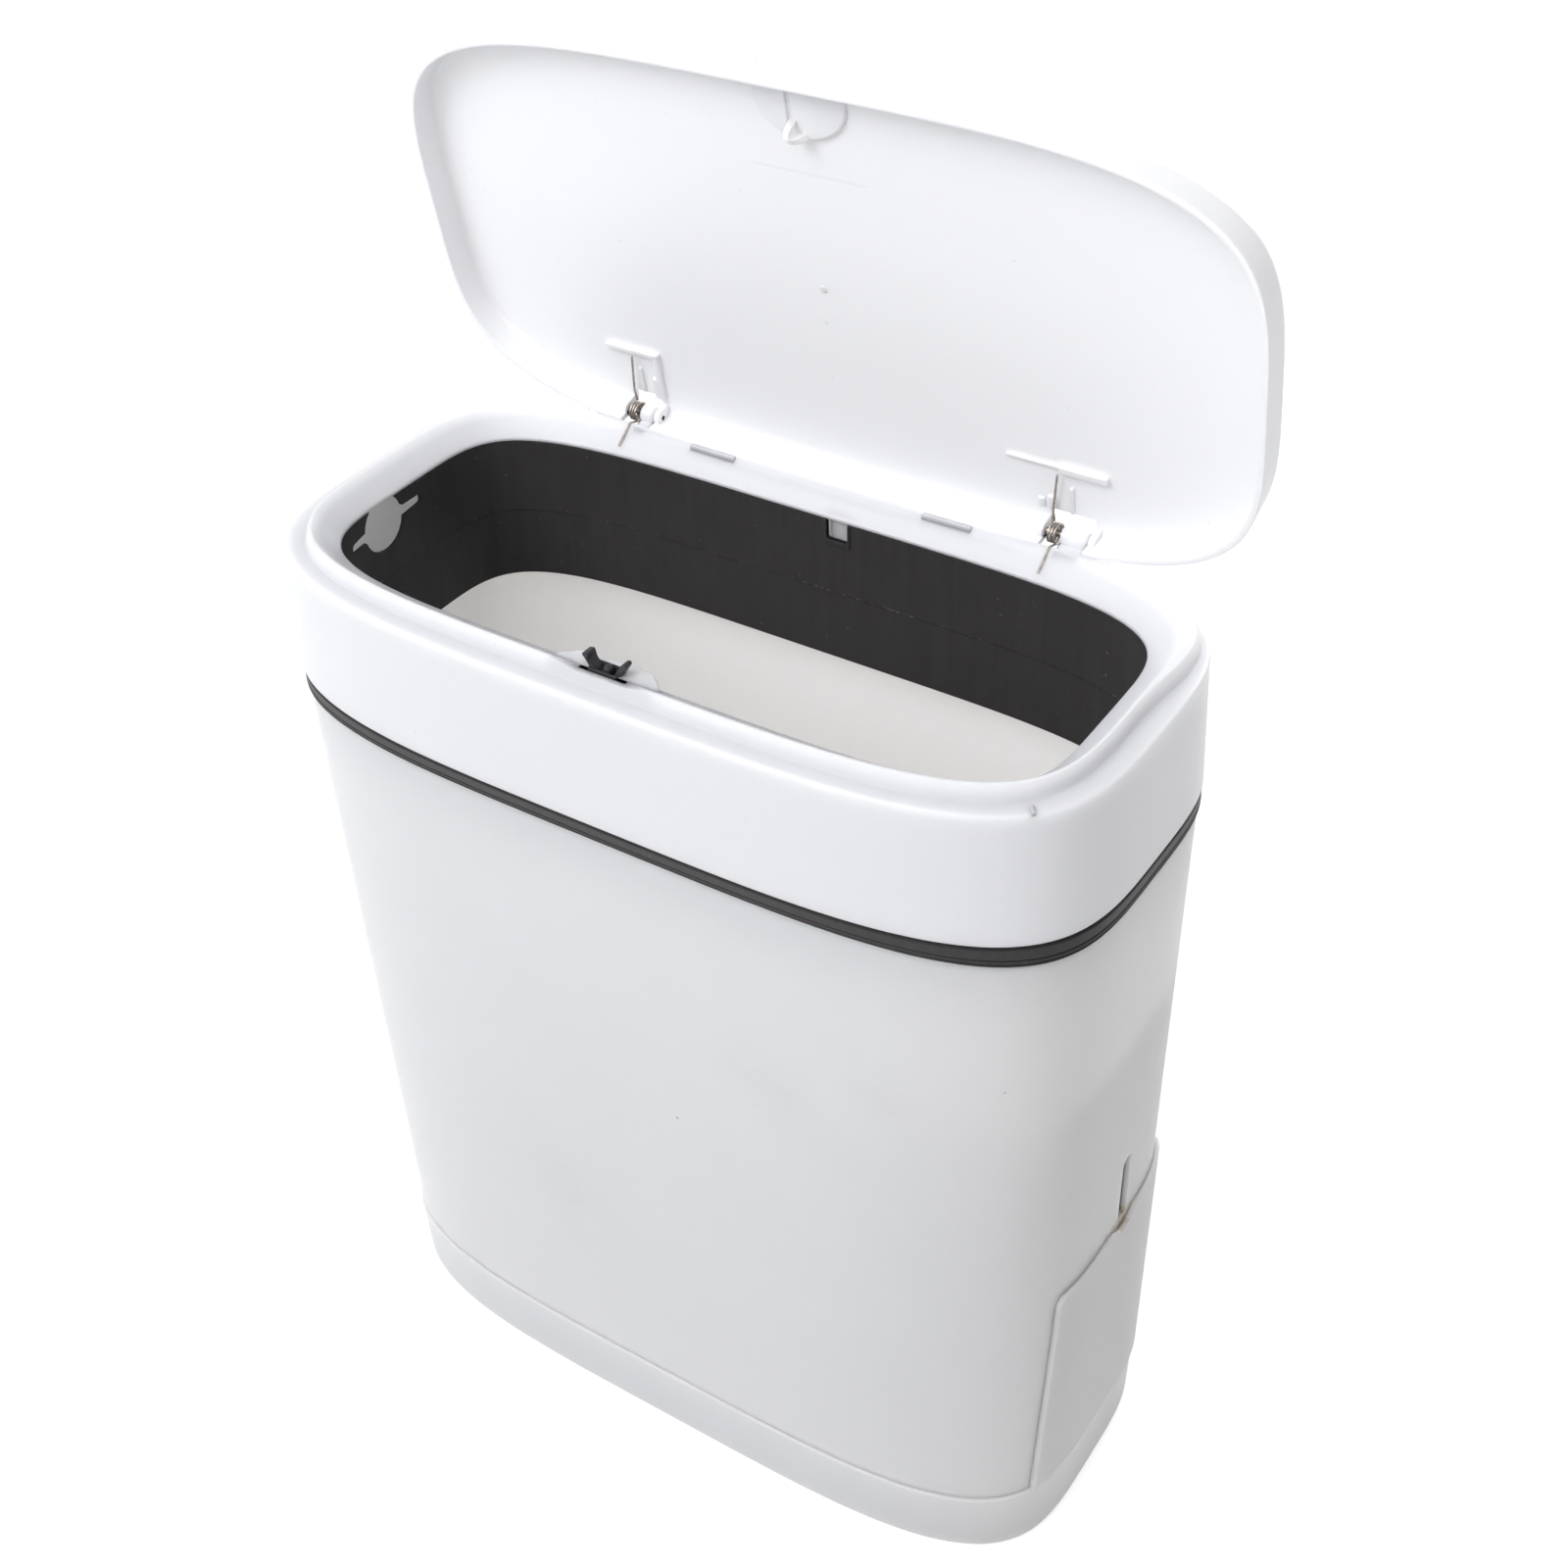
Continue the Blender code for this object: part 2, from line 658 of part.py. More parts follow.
def add_latch_boss(rim):
    """Flat tab inside the front rim, with a well for the latch."""
    middle = latch_place()
    boss_top = crest_top - BOSS_DROP
    inner_edge = -(mouth_outline[1] + BOSS_REACH)
    outer_edge = middle - LATCH_HALF_WIDTH - BOSS_WALL
    tab = [
        (-BOSS_FOOT_HALF_LENGTH, outer_edge),
        (BOSS_FOOT_HALF_LENGTH, outer_edge),
        (BOSS_FOOT_HALF_LENGTH, inner_edge - BOSS_CHAMFER),
        (BOSS_HALF_LENGTH, inner_edge),
        (-BOSS_HALF_LENGTH, inner_edge),
        (-BOSS_FOOT_HALF_LENGTH, inner_edge - BOSS_CHAMFER),
    ]
    join(rim, prism("tab", tab, boss_top - BOSS_THICKNESS, boss_top))
    well_floor = boss_top + LATCH_PROUD - LATCH_DEPTH - GAP
    housing_half = LATCH_HALF_LENGTH + BOSS_WALL
    well_back = middle + LATCH_HALF_WIDTH + GAP + LATCH_SLEEVE_WALL
    well_block = box(
        "well_block",
        (-housing_half, outer_edge, well_floor - BOSS_WALL),
        (housing_half, well_back, boss_top - BOSS_THICKNESS / 2),
    )
    join(rim, well_block)
    clearing = box(
        "clearing",
        (-housing_half, outer_edge, boss_top),
        (housing_half, inner_edge + OVERRUN, crest_top + OVERRUN),
    )
    cut(rim, clearing)
    well = box(
        "well",
        (-LATCH_HALF_LENGTH - GAP, middle - LATCH_HALF_WIDTH - GAP, well_floor),
        (LATCH_HALF_LENGTH + GAP, middle + LATCH_HALF_WIDTH + GAP, crest_top + OVERRUN),
    )
    cut(rim, well)


def lid_ring(growth, height, back_power=LID_BACK_POWER):
    """The lid's outline, grown or shrunk, at one height."""
    return ring(grow(lid_outline, growth), height, back_power)


def lid_shell(material, hinge):
    """Shallow tray with a thin lip and a flared, rounded side, notched round both hinge knuckles."""
    side_top = lid_seat + LID_SIDE_HEIGHT
    top = side_top + LID_ROUND_HEIGHT
    share = LID_DOME_SHARE
    rings = [lid_ring(-LID_FLAT_INSET, top + LID_DOME)]
    rings.append(lid_ring(-LID_DOME_INSET, top + LID_DOME * share))
    for step in range(ARC_STEPS):
        turn = math.pi / 2 * (1 - step / (ARC_STEPS - 1))
        inset = LID_ROUND * (1 - math.cos(turn))
        rings.append(lid_ring(LID_FLARE - inset, side_top + LID_ROUND_HEIGHT * math.sin(turn)))
    rings.append(lid_ring(0, lid_seat + LID_LIP_ROUND, LIP_BACK_POWER))
    rings.append(lid_ring(-LID_LIP_ROUND, lid_seat, LIP_BACK_POWER))
    rings.append(lid_ring(-LID_LIP, lid_seat, LIP_BACK_POWER))
    for step in range(3):
        turn = math.pi / 2 * step / 2
        inset = LID_INNER_ROUND * (1 - math.cos(turn))
        height = ceiling - LID_INNER_ROUND * (1 - math.sin(turn))
        rings.append(lid_ring(-LID_LIP - inset, height))
    rings.append(lid_ring(-LID_DOME_INSET, ceiling + LID_DOME * share))
    rings.append(lid_ring(-LID_FLAT_INSET, ceiling + LID_DOME))
    origin = (0, hinge_y, hinge_z)
    tray = loft("lid_shell", rings, material, parent=hinge, origin=origin)
    for place, length in hinges:
        left, right = notch_ends(place, length)
        lug_low = hinge_z - LUG_DROP
        for start in (left - LUG_WIDTH, right):
            lug = box(
                "lug",
                (start, hinge_y - LUG_HALF_DEPTH, lug_low),
                (start + LUG_WIDTH, hinge_y + LUG_HALF_DEPTH, ceiling + LUG_SEAT),
                parent=hinge,
                origin=origin,
            )
            join(tray, lug)
        notch = box(
            "notch",
            (left, hinge_y - NOTCH_FRONT, lid_seat - OVERRUN),
            (right, HALF_WIDTH + OVERRUN, top + LID_DOME + OVERRUN),
            parent=hinge,
            origin=origin,
        )
        cut(tray, notch)
        bore = circle((hinge_y, hinge_z), BORE_RADIUS, ROUND_SIDES)
        low, high = left - LUG_WIDTH - GAP, right + LUG_WIDTH + GAP
        cut(tray, prism("drill", bore, low, high, "X", parent=hinge, origin=origin))
    bar_y = hinge_y - BAR_FROM_HINGE
    left_start = hinge_left_x - BAR_LEFT_LEAD
    right_start = hinge_right_x - BAR_RIGHT_LEAD
    for start, length in ((left_start, BAR_LEFT_LENGTH), (right_start, BAR_RIGHT_LENGTH)):
        bar = box(
            "bar",
            (start, bar_y - BAR_WIDTH / 2, ceiling - BAR_DEPTH),
            (start + length, bar_y + BAR_WIDTH / 2, ceiling + LUG_SEAT),
            parent=hinge,
            origin=origin,
        )
        join(tray, bar)
    add_catch_pad(tray, hinge, origin)
    lug = notch_ends(*hinges[0])[1] + LUG_WIDTH / 2
    rib_y = hinge_y - RIB_FROM_HINGE
    notch_y = hinge_y - NOTCH_FRONT
    for place, near, far in (
        (lug, bar_y, hinge_y - LUG_HALF_DEPTH / 2),
        (hinge_left_x + RIB_LEFT_OFFSET, rib_y, notch_y),
        (hinge_right_x + RIB_RIGHT_OFFSET, rib_y, notch_y),
    ):
        rib = box(
            "rib",
            (place - RIB_WIDTH / 2, near, ceiling - BAR_DEPTH),
            (place + RIB_WIDTH / 2, far, ceiling + LUG_SEAT),
            parent=hinge,
            origin=origin,
        )
        join(tray, rib)
    return finish(tray)


def add_catch_pad(tray, hinge, origin):
    """Half-moon pad against the lid's front wall, with a fine slit in it."""
    middle = lid_outline[1] - LID_LIP - LID_INNER_ROUND - CATCH_PAD_SETBACK
    edge = -(lid_outline[1] - LID_LIP / 2)
    steps = ROUND_SIDES // 2
    profile = [(-CATCH_PAD_HALF_LENGTH, edge)]
    for step in range(steps + 1):
        turn = math.pi * (1 - step / steps)
        x = CATCH_PAD_HALF_LENGTH * math.cos(turn)
        profile.append((x, -middle + CATCH_PAD_REACH * math.sin(turn)))
    profile.append((CATCH_PAD_HALF_LENGTH, edge))
    low = ceiling - CATCH_PAD_THICKNESS
    join(tray, prism("pad", profile, low, ceiling + LUG_SEAT, parent=hinge, origin=origin))
    slit = box(
        "slit",
        (CATCH_SLIT_X - CATCH_SLIT_WIDTH / 2, -middle, low - OVERRUN),
        (CATCH_SLIT_X + CATCH_SLIT_WIDTH / 2, -middle + CATCH_SLIT_LENGTH, ceiling),
        parent=hinge,
        origin=origin,
    )
    cut(tray, slit)


def coil_half_length():
    """Half the room that a torsion spring's coil takes along the pin."""
    return (COIL_PITCH * (COIL_TURNS + 1 / 2) + 2 * WIRE_RADIUS) / 2


def notch_ends(place, length):
    """Both ends of the lid's notch round one hinge."""
    half = coil_half_length() + HINGE_SIDE_GAP
    return place - half, place + half + length + HINGE_SIDE_GAP


def hinge_pin(name, place, length, material, hinge):
    """Pin held by the lid's two lugs, through the coil and the knuckle."""
    left, right = notch_ends(place, length)
    profile = circle((hinge_y, hinge_z), PIN_RADIUS, ROUND_SIDES)
    origin = (0, hinge_y, hinge_z)
    low, high = left - LUG_WIDTH, right + LUG_WIDTH
    return finish(prism(name, profile, low, high, "X", material, parent=hinge, origin=origin))


def tangent(corner, side):
    """Where a wire that passes a corner point touches the coil, and at which angle round it."""
    along, up = corner[0], corner[1]
    distance = math.hypot(along, up)
    opening = math.acos(COIL_RADIUS / distance)
    turn = math.atan2(up, along) + side * opening
    return turn


def spring_route(place):
    """Centre line of one torsion spring, at rest, as rows of X, Y, Z."""
    half = coil_half_length() - WIRE_RADIUS
    lift = WIRE_RADIUS + LEG_CLEARANCE
    leg_x = place + half
    edge_y, edge_z = relief_front_y, funnel_height(leg_x, relief_front_y)
    end_y = side_y(mouth_outline, leg_x) + LOWER_LEG_END
    end_z = funnel_height(leg_x, end_y)
    slope = math.atan2(edge_z - end_z, edge_y - end_y)
    raised = Vector((-math.sin(slope), math.cos(slope))) * lift
    corner = Vector((edge_y - hinge_y, edge_z - hinge_z)) + raised
    tip = Vector((end_y - hinge_y, end_z - hinge_z)) + raised
    start_turn = tangent(corner, 1)
    # the upper leg is worked out beside the closed lid, then turned open with it
    under = ceiling - hinge_z - lift
    upper_corner = (-NOTCH_FRONT - lift, under - lift)
    upper_tip = (upper_corner[0] - (UPPER_LEG_LENGTH - NOTCH_FRONT), under - lift)
    end_turn = tangent(upper_corner, -1) - OPEN_ANGLE
    while end_turn < start_turn + 2 * math.pi * COIL_TURNS:
        end_turn += 2 * math.pi
    opened = Matrix.Rotation(-OPEN_ANGLE, 2)
    points = []
    for share in np.linspace(0, 1, 4)[:-1]:
        along = tip.lerp(corner, share)
        points.append((half, along.x, along.y))
    points.append((half, corner[0], corner[1]))
    turns = (end_turn - start_turn) / (2 * math.pi)
    steps = math.ceil(turns * COIL_POINTS)
    for share in np.linspace(0, 1, steps + 1):
        turn = start_turn + (end_turn - start_turn) * share
        across = half - 2 * half * share
        points.append((across, COIL_RADIUS * math.cos(turn), COIL_RADIUS * math.sin(turn)))
    turned_corner = opened @ Vector(upper_corner)
    turned_tip = opened @ Vector(upper_tip)
    points.append((-half, turned_corner.x, turned_corner.y))
    for share in np.linspace(0, 1, 4)[1:]:
        across = turned_corner.lerp(turned_tip, share)
        points.append((-half + UPPER_LEG_LEAN * share, across.x, across.y))
    route = np.array(points)
    return route + np.array((place, hinge_y, hinge_z))


def least_gap(route, radius):
    """Smallest room between stretches of a wire that lie more than half a turn apart."""
    fine = []
    for start, end in zip(route[:-1], route[1:]):
        for share in np.linspace(0, 1, 8, endpoint=False):
            fine.append(start + (end - start) * share)
    fine = np.array(fine)
    lengths = np.concatenate(([0], np.cumsum(np.linalg.norm(np.diff(fine, axis=0), axis=1))))
    apart = np.abs(lengths[:, None] - lengths[None, :]) > math.pi * COIL_RADIUS
    distance = np.linalg.norm(fine[:, None] - fine[None, :], axis=2)
    return distance[apart].min() - 2 * radius


def wire(name, route, radius, material, parent=None, origin=(0, 0, 0)):
    """A round wire along a list of points."""
    curve = bpy.data.curves.new(name, "CURVE")
    curve.dimensions = "3D"
    curve.bevel_depth = radius
    curve.bevel_resolution = 1
    curve.use_fill_caps = True
    spline = curve.splines.new("POLY")
    spline.points.add(len(route) - 1)
    for point, place in zip(spline.points, route):
        point.co = (*(Vector(place) - Vector(origin)), 1.0)
    curve.materials.append(material)
    thing = bpy.data.objects.new(name, curve)
    bpy.context.scene.collection.objects.link(thing)
    thing.location = origin
    thing.parent = parent
    return thing


def hinge_spring(name, place, material):
    """Visible torsion spring that throws the lid open."""
    route = spring_route(place)
    print(name, "least gap to itself, mm:", round(1000 * least_gap(route, WIRE_RADIUS), 3))
    return wire(name, route, WIRE_RADIUS, material, origin=(place, hinge_y, hinge_z))


def striker(material, hinge):
    """Headed post under the lid that the latch takes hold of."""
    origin = (0, hinge_y, hinge_z)
    place = (0, latch_place())
    knob_top = crest_top - BOSS_DROP + LATCH_PROUD + KNOB_RISE
    foot = knob_top + GAP
    head_top = foot + STRIKER_HEAD_HEIGHT
    rings = []
    for radius, height in (
        (STRIKER_HEAD - GAP, foot),
        (STRIKER_HEAD, foot + STRIKER_HEAD_HEIGHT / 3),
        (STRIKER_HEAD, foot + STRIKER_HEAD_HEIGHT * 2 / 3),
        (STRIKER_RADIUS, head_top),
        (STRIKER_RADIUS, ceiling - CATCH_PAD_THICKNESS - GAP),
    ):
        rings.append([(x, y, height) for x, y in circle(place, radius, SMALL_SIDES)])
    return finish(loft("lid_striker", rings, material, parent=hinge, origin=origin))


def latch_heights():
    """Top of the latch housing and of its inside floor, and the plunger's foot and top at rest."""
    top = crest_top - BOSS_DROP + LATCH_PROUD
    floor = top - LATCH_DEPTH + LATCH_WALL
    plunger_top = top - PLUNGER_SINK
    return top, floor, plunger_top - PLUNGER_HEIGHT, plunger_top


def latch_housing(material):
    """Dark socket pressed into the boss."""
    middle = latch_place()
    top, floor, _, _ = latch_heights()
    foot = top - LATCH_DEPTH
    shell = box(
        "latch_housing",
        (-LATCH_HALF_LENGTH, middle - LATCH_HALF_WIDTH, foot),
        (LATCH_HALF_LENGTH, middle + LATCH_HALF_WIDTH, top),
        material,
    )
    hollow = box(
        "hollow",
        (-LATCH_HALF_LENGTH + LATCH_WALL, middle - LATCH_HALF_WIDTH + LATCH_WALL, floor),
        (LATCH_HALF_LENGTH - LATCH_WALL, middle + LATCH_HALF_WIDTH - LATCH_WALL, top + OVERRUN),
    )
    cut(shell, hollow)
    return finish(shell)


def latch_plunger(material, slide):
    """Sliding block with a small round knob between the claws."""
    middle = latch_place()
    top, _, foot, plunger_top = latch_heights()
    origin = (0, middle, top)
    half_length = LATCH_HALF_LENGTH - LATCH_WALL - PLUNGER_FIT
    half_width = LATCH_HALF_WIDTH - LATCH_WALL - PLUNGER_FIT
    block = box(
        "latch_plunger",
        (-half_length, middle - half_width, foot),
        (half_length, middle + half_width, plunger_top),
        material,
        parent=slide,
        origin=origin,
    )
    knob = circle((0, middle), KNOB_RADIUS, SMALL_SIDES)
    join(block, prism("knob", knob, foot + GAP, top + KNOB_RISE, parent=slide, origin=origin))
    return finish(block)


def latch_claw(name, side, material, slide):
    """One of the two jaws, leaning outwards while the latch is open."""
    middle = latch_place()
    top, _, _, plunger_top = latch_heights()
    pivot = empty(name + "_pivot", (side * CLAW_PIVOT_X, 0, plunger_top + GAP - top), slide)
    pivot.rotation_euler = (0, side * CLAW_ANGLE, 0)
    half = CLAW_THICKNESS / 2
    inward = -side
    profile = [
        (inward * half, half),
        (0, 0),
        (-inward * half, half),
        (-inward * half, CLAW_LENGTH - half),
        (0, CLAW_LENGTH),
        (inward * (half + CLAW_HOOK), CLAW_LENGTH - half),
        (inward * (half + CLAW_HOOK), CLAW_LENGTH - half - CLAW_HOOK_HEIGHT),
        (inward * half, CLAW_LENGTH - half - CLAW_HOOK_HEIGHT - CLAW_HOOK),
    ]
    claw = prism(name, profile, -CLAW_HALF_WIDTH, CLAW_HALF_WIDTH, "Y", material, parent=pivot)
    return finish(claw)


def latch_spring(material):
    """Coil under the plunger."""
    middle = latch_place()
    _, floor, foot, _ = latch_heights()
    low = floor + GAP + LATCH_SPRING_WIRE
    high = foot - GAP - LATCH_SPRING_WIRE
    steps = LATCH_SPRING_TURNS * 8
    route = []
    for step in range(steps + 1):
        share = step / steps
        turn = 2 * math.pi * LATCH_SPRING_TURNS * share
        x = LATCH_SPRING_RADIUS * math.cos(turn)
        y = middle + LATCH_SPRING_RADIUS * math.sin(turn)
        route.append((x, y, low + (high - low) * share))
    return wire("latch_spring", route, LATCH_SPRING_WIRE, material, origin=(0, middle, floor))


def arc(centre, radius, start, end):
    """Points along part of a circle, both ends included."""
    points = []
    for step in range(ARC_STEPS + 1):
        turn = start + (end - start) * step / ARC_STEPS
        points.append((centre[0] + radius * math.cos(turn), centre[1] + radius * math.sin(turn)))
    return points


def back_corners(back, half_width, radius):
    """The two rounded back corners of the bay or cup, from the +Y side to the -Y side."""
    right = arc((back + radius, CADDY_Y + half_width - radius), radius, math.pi / 2, math.pi)
    left = arc((back + radius, CADDY_Y - half_width + radius), radius, math.pi, math.pi * 3 / 2)
    return right + left


def bay_walls(name, outline, low, high):
    """Back and side walls of the bay, with front edges that follow the end of the body."""
    back = HALF_LENGTH - BAY_DEPTH - BAY_WALL
    inner = BAY_HALF_WIDTH - BAY_WALL
    outer_front = [
        (end_x(outline, CADDY_Y + BAY_HALF_WIDTH), CADDY_Y + BAY_HALF_WIDTH),
        (end_x(outline, CADDY_Y - BAY_HALF_WIDTH), CADDY_Y - BAY_HALF_WIDTH),
    ]
    inner_front = [
        (outer_front[1][0], CADDY_Y - inner),
        (outer_front[0][0], CADDY_Y + inner),
    ]
    outer_path = back_corners(back, BAY_HALF_WIDTH, BAY_CORNER)
    inner_path = back_corners(back + BAY_WALL, inner, BAY_CORNER - BAY_WALL)
    profile = [outer_front[0]] + outer_path + [outer_front[1], inner_front[0]]
    profile += list(reversed(inner_path)) + [inner_front[1]]
    return prism(name, profile, low, high)


def bay_plate(name, outline, low, high):
    """Shelf or ceiling of the bay."""
    back = HALF_LENGTH - BAY_DEPTH - BAY_WALL
    profile = back_corners(back, BAY_HALF_WIDTH, BAY_CORNER)
    for step in range(ARC_STEPS * 2 + 1):
        y = CADDY_Y - BAY_HALF_WIDTH + 2 * BAY_HALF_WIDTH * step / (ARC_STEPS * 2)
        profile.append((end_x(outline, y), y))
    return prism(name, profile, low, high)


def brush_bay(material):
    """Housing for the caddy inside the body, on its own stand."""
    limit = grow(body_foot_outline, -BODY_WALL - GAP)
    bay = bay_walls("brush_bay", limit, shelf_foot, BAY_TOP)
    join(bay, bay_plate("shelf", limit, shelf_foot, shelf_top))
    join(bay, bay_plate("roof", limit, bay_ceiling, BAY_TOP))
    bay.data.materials.clear()
    bay.data.materials.append(material)
    return finish(bay)


def bay_stand(material):
    """Three flat walls on the bin's floor that carry the bay's shelf."""
    outline = grow(socket_outline, -BODY_WALL - GAP)
    back = HALF_LENGTH - BAY_DEPTH - BAY_WALL
    right, left = CADDY_Y + BAY_HALF_WIDTH, CADDY_Y - BAY_HALF_WIDTH
    right_end = end_x(outline, right) - BAY_LEG_SETBACK
    left_end = end_x(outline, left) - BAY_LEG_SETBACK
    profile = [
        (right_end, right),
        (back, right),
        (back, left),
        (left_end, left),
        (left_end, left + BAY_WALL),
        (back + BAY_WALL, left + BAY_WALL),
        (back + BAY_WALL, right - BAY_WALL),
        (right_end, right - BAY_WALL),
    ]
    low, high = bin_floor + GAP, shelf_foot - GAP
    return finish(prism("bay_stand", profile, low, high, "Z", material))


def panel_half_width(height):
    """Half the panel's width at a height, wider towards the foot, with cut corners at the top."""
    share = (height - shoulder) / (PANEL_TOP - shoulder)
    half = PANEL_FOOT_HALF_WIDTH + (PANEL_TOP_HALF_WIDTH - PANEL_FOOT_HALF_WIDTH) * share
    return half - max(0, height - (PANEL_TOP - PANEL_CORNER))


def caddy_panel(material, slide):
    """Curved outside of the caddy, lying over the body's end, with a thumb notch in its top edge."""
    levels = list(np.linspace(shoulder, PANEL_TOP - PANEL_CORNER, 4))
    levels.append(PANEL_TOP)
    points = []
    for offset in (PANEL_OFFSET, PANEL_OFFSET + PANEL_THICKNESS):
        for height in levels:
            outline = grow(body_outline(height), offset)
            for share in np.linspace(-1, 1, PANEL_COLUMNS + 1):
                y = CADDY_Y + share * panel_half_width(height)
                points.append((end_x(outline, y), y, height))
    columns = PANEL_COLUMNS + 1
    sheet = len(levels) * columns
    faces = []
    for row in range(len(levels) - 1):
        for column in range(PANEL_COLUMNS):
            first = row * columns + column
            quad = (first, first + 1, first + 1 + columns, first + columns)
            faces.append(quad)
            faces.append(tuple(index + sheet for index in reversed(quad)))
    rim = list(range(columns)) + [row * columns + PANEL_COLUMNS for row in range(1, len(levels))]
    rim += [sheet - 1 - column for column in range(1, columns)]
    rim += [row * columns for row in range(len(levels) - 2, 0, -1)]
    for here, following in zip(rim, rim[1:] + rim[:1]):
        faces.append((here, following, following + sheet, here + sheet))
    panel = mesh_object("caddy_panel", points, faces, material, parent=slide)
    radius = (THUMB_WIDTH ** 2 / 4 + THUMB_DEPTH ** 2) / (2 * THUMB_DEPTH)
    scoop = circle((CADDY_Y, PANEL_TOP - THUMB_DEPTH + radius), radius, ROUND_SIDES * 2)
    cut(panel, prism("scoop", scoop, HALF_LENGTH / 2, HALF_LENGTH + OVERRUN, "X"))
    return finish(panel)


def cup_profile(inset):
    """Plan of the cup, rounded at the back and following the panel in front."""
    back = HALF_LENGTH - BAY_DEPTH + CUP_BACK_CLEARANCE + inset
    half = BAY_HALF_WIDTH - BAY_WALL - CUP_SIDE_CLEARANCE - inset
    front = grow(body_foot_outline, PANEL_OFFSET - GAP - inset)
    profile = back_corners(back, half, BAY_CORNER - BAY_WALL - inset)
    for step in range(ARC_STEPS * 2 + 1):
        y = CADDY_Y - half + 2 * half * step / (ARC_STEPS * 2)
        profile.append((end_x(front, y), y))
    return profile


def caddy_cup(material, slide):
    """Open cup behind the panel that the brush stands in."""
    top = cup_foot + CUP_HEIGHT
    rings = []
    for inset, height in ((0, cup_foot), (0, top), (CUP_WALL, top), (CUP_WALL, cup_floor)):
        rings.append([(x, y, height) for x, y in cup_profile(inset)])
    return finish(loft("caddy_cup", rings, material, parent=slide))


def brush_x():
    """Middle of the cup's inside, where the brush stands."""
    back = HALF_LENGTH - BAY_DEPTH + CUP_BACK_CLEARANCE + CUP_WALL
    front = body_foot_outline[0] - CUP_WALL
    return (back + front) / 2


def turned(name, outline, material, parent=None):
    """A round solid on the brush's axis, from pairs of radius and height."""
    rings = []
    for radius, height in outline:
        rings.append([(x, y, height) for x, y in circle((brush_x(), CADDY_Y), radius, ROUND_SIDES)])
    return loft(name, rings, material, parent=parent)


def brush_bristles(material, lift):
    """Soft round head, kept plain, with the stem's bore through it."""
    foot = cup_floor + GAP
    top = foot + BRISTLE_HEIGHT
    outline = [
        (BRISTLE_RADIUS - BRISTLE_EDGE, foot),
        (BRISTLE_RADIUS, foot + BRISTLE_EDGE),
        (BRISTLE_RADIUS, top - BRISTLE_EDGE),
        (BRISTLE_RADIUS - BRISTLE_EDGE, top),
    ]
    head = turned("brush_bristles", outline, material, lift)
    bore = [(STEM_RADIUS + GAP, foot + STEM_FOOT - GAP), (STEM_RADIUS + GAP, top + OVERRUN)]
    cut(head, turned("bore", bore, None))
    return finish(head)


def brush_head(material, lift):
    """Stem down the middle of the bristles, with a collet above them."""
    foot = cup_floor + GAP
    collet = foot + BRISTLE_HEIGHT + GAP
    outline = [
        (STEM_RADIUS, foot + STEM_FOOT),
        (STEM_RADIUS, collet),
        (COLLET_RADIUS, collet),
        (COLLET_RADIUS, collet + COLLET_HEIGHT),
        (STEM_RADIUS, collet + COLLET_HEIGHT),
        (STEM_RADIUS, collet + COLLET_HEIGHT + STEM_RISE),
    ]
    return finish(turned("brush_head", outline, material, lift))


def brush_handle(material, lift):
    """Socket over the stem and a flat grip, thin enough to pass through the slot."""
    foot = cup_floor + GAP + BRISTLE_HEIGHT + GAP + COLLET_HEIGHT + GAP
    neck = opening_top - PANEL_LAP
    grip = turned("brush_handle", [(GRIP_RADIUS, foot), (GRIP_RADIUS, neck)], material, lift)
    low = brush_x() - GRIP_RADIUS
    high = end_x(grow(body_foot_outline, -BODY_WALL), CADDY_Y) - BLADE_SETBACK + PANEL_OFFSET
    low = min(low, high - BLADE_LENGTH)
    top = SLOT_TOP - BLADE_TOP_GAP
    foot_blade = neck - PANEL_LAP
    profile = [(low, foot_blade), (brush_x() + GRIP_RADIUS, foot_blade)]
    profile.append((brush_x() + GRIP_RADIUS, opening_top + PANEL_LAP + THUMB_DEPTH))
    profile.append((high, opening_top + PANEL_LAP + THUMB_DEPTH + BLADE_CORNER))
    profile += arc((high - BLADE_CORNER, top - BLADE_CORNER), BLADE_CORNER, 0, math.pi / 2)
    profile += arc((low + BLADE_CORNER, top - BLADE_CORNER), BLADE_CORNER, math.pi / 2, math.pi)
    half = SLOT_WIDTH / 2 - BLADE_FIT
    join(grip, prism("blade", profile, CADDY_Y - half, CADDY_Y + half, "Y"))
    centre = (high - BLADE_CORNER - BLADE_HOLE_RADIUS, top - BLADE_CORNER - BLADE_HOLE_RADIUS)
    hole = circle(centre, BLADE_HOLE_RADIUS, ROUND_SIDES)
    cut(grip, prism("hole", hole, CADDY_Y - half - OVERRUN, CADDY_Y + half + OVERRUN, "Y"))
    socket = [(STEM_RADIUS + GAP, foot - OVERRUN), (STEM_RADIUS + GAP, foot + STEM_RISE)]
    cut(grip, turned("socket", socket, None))
    return finish(grip)


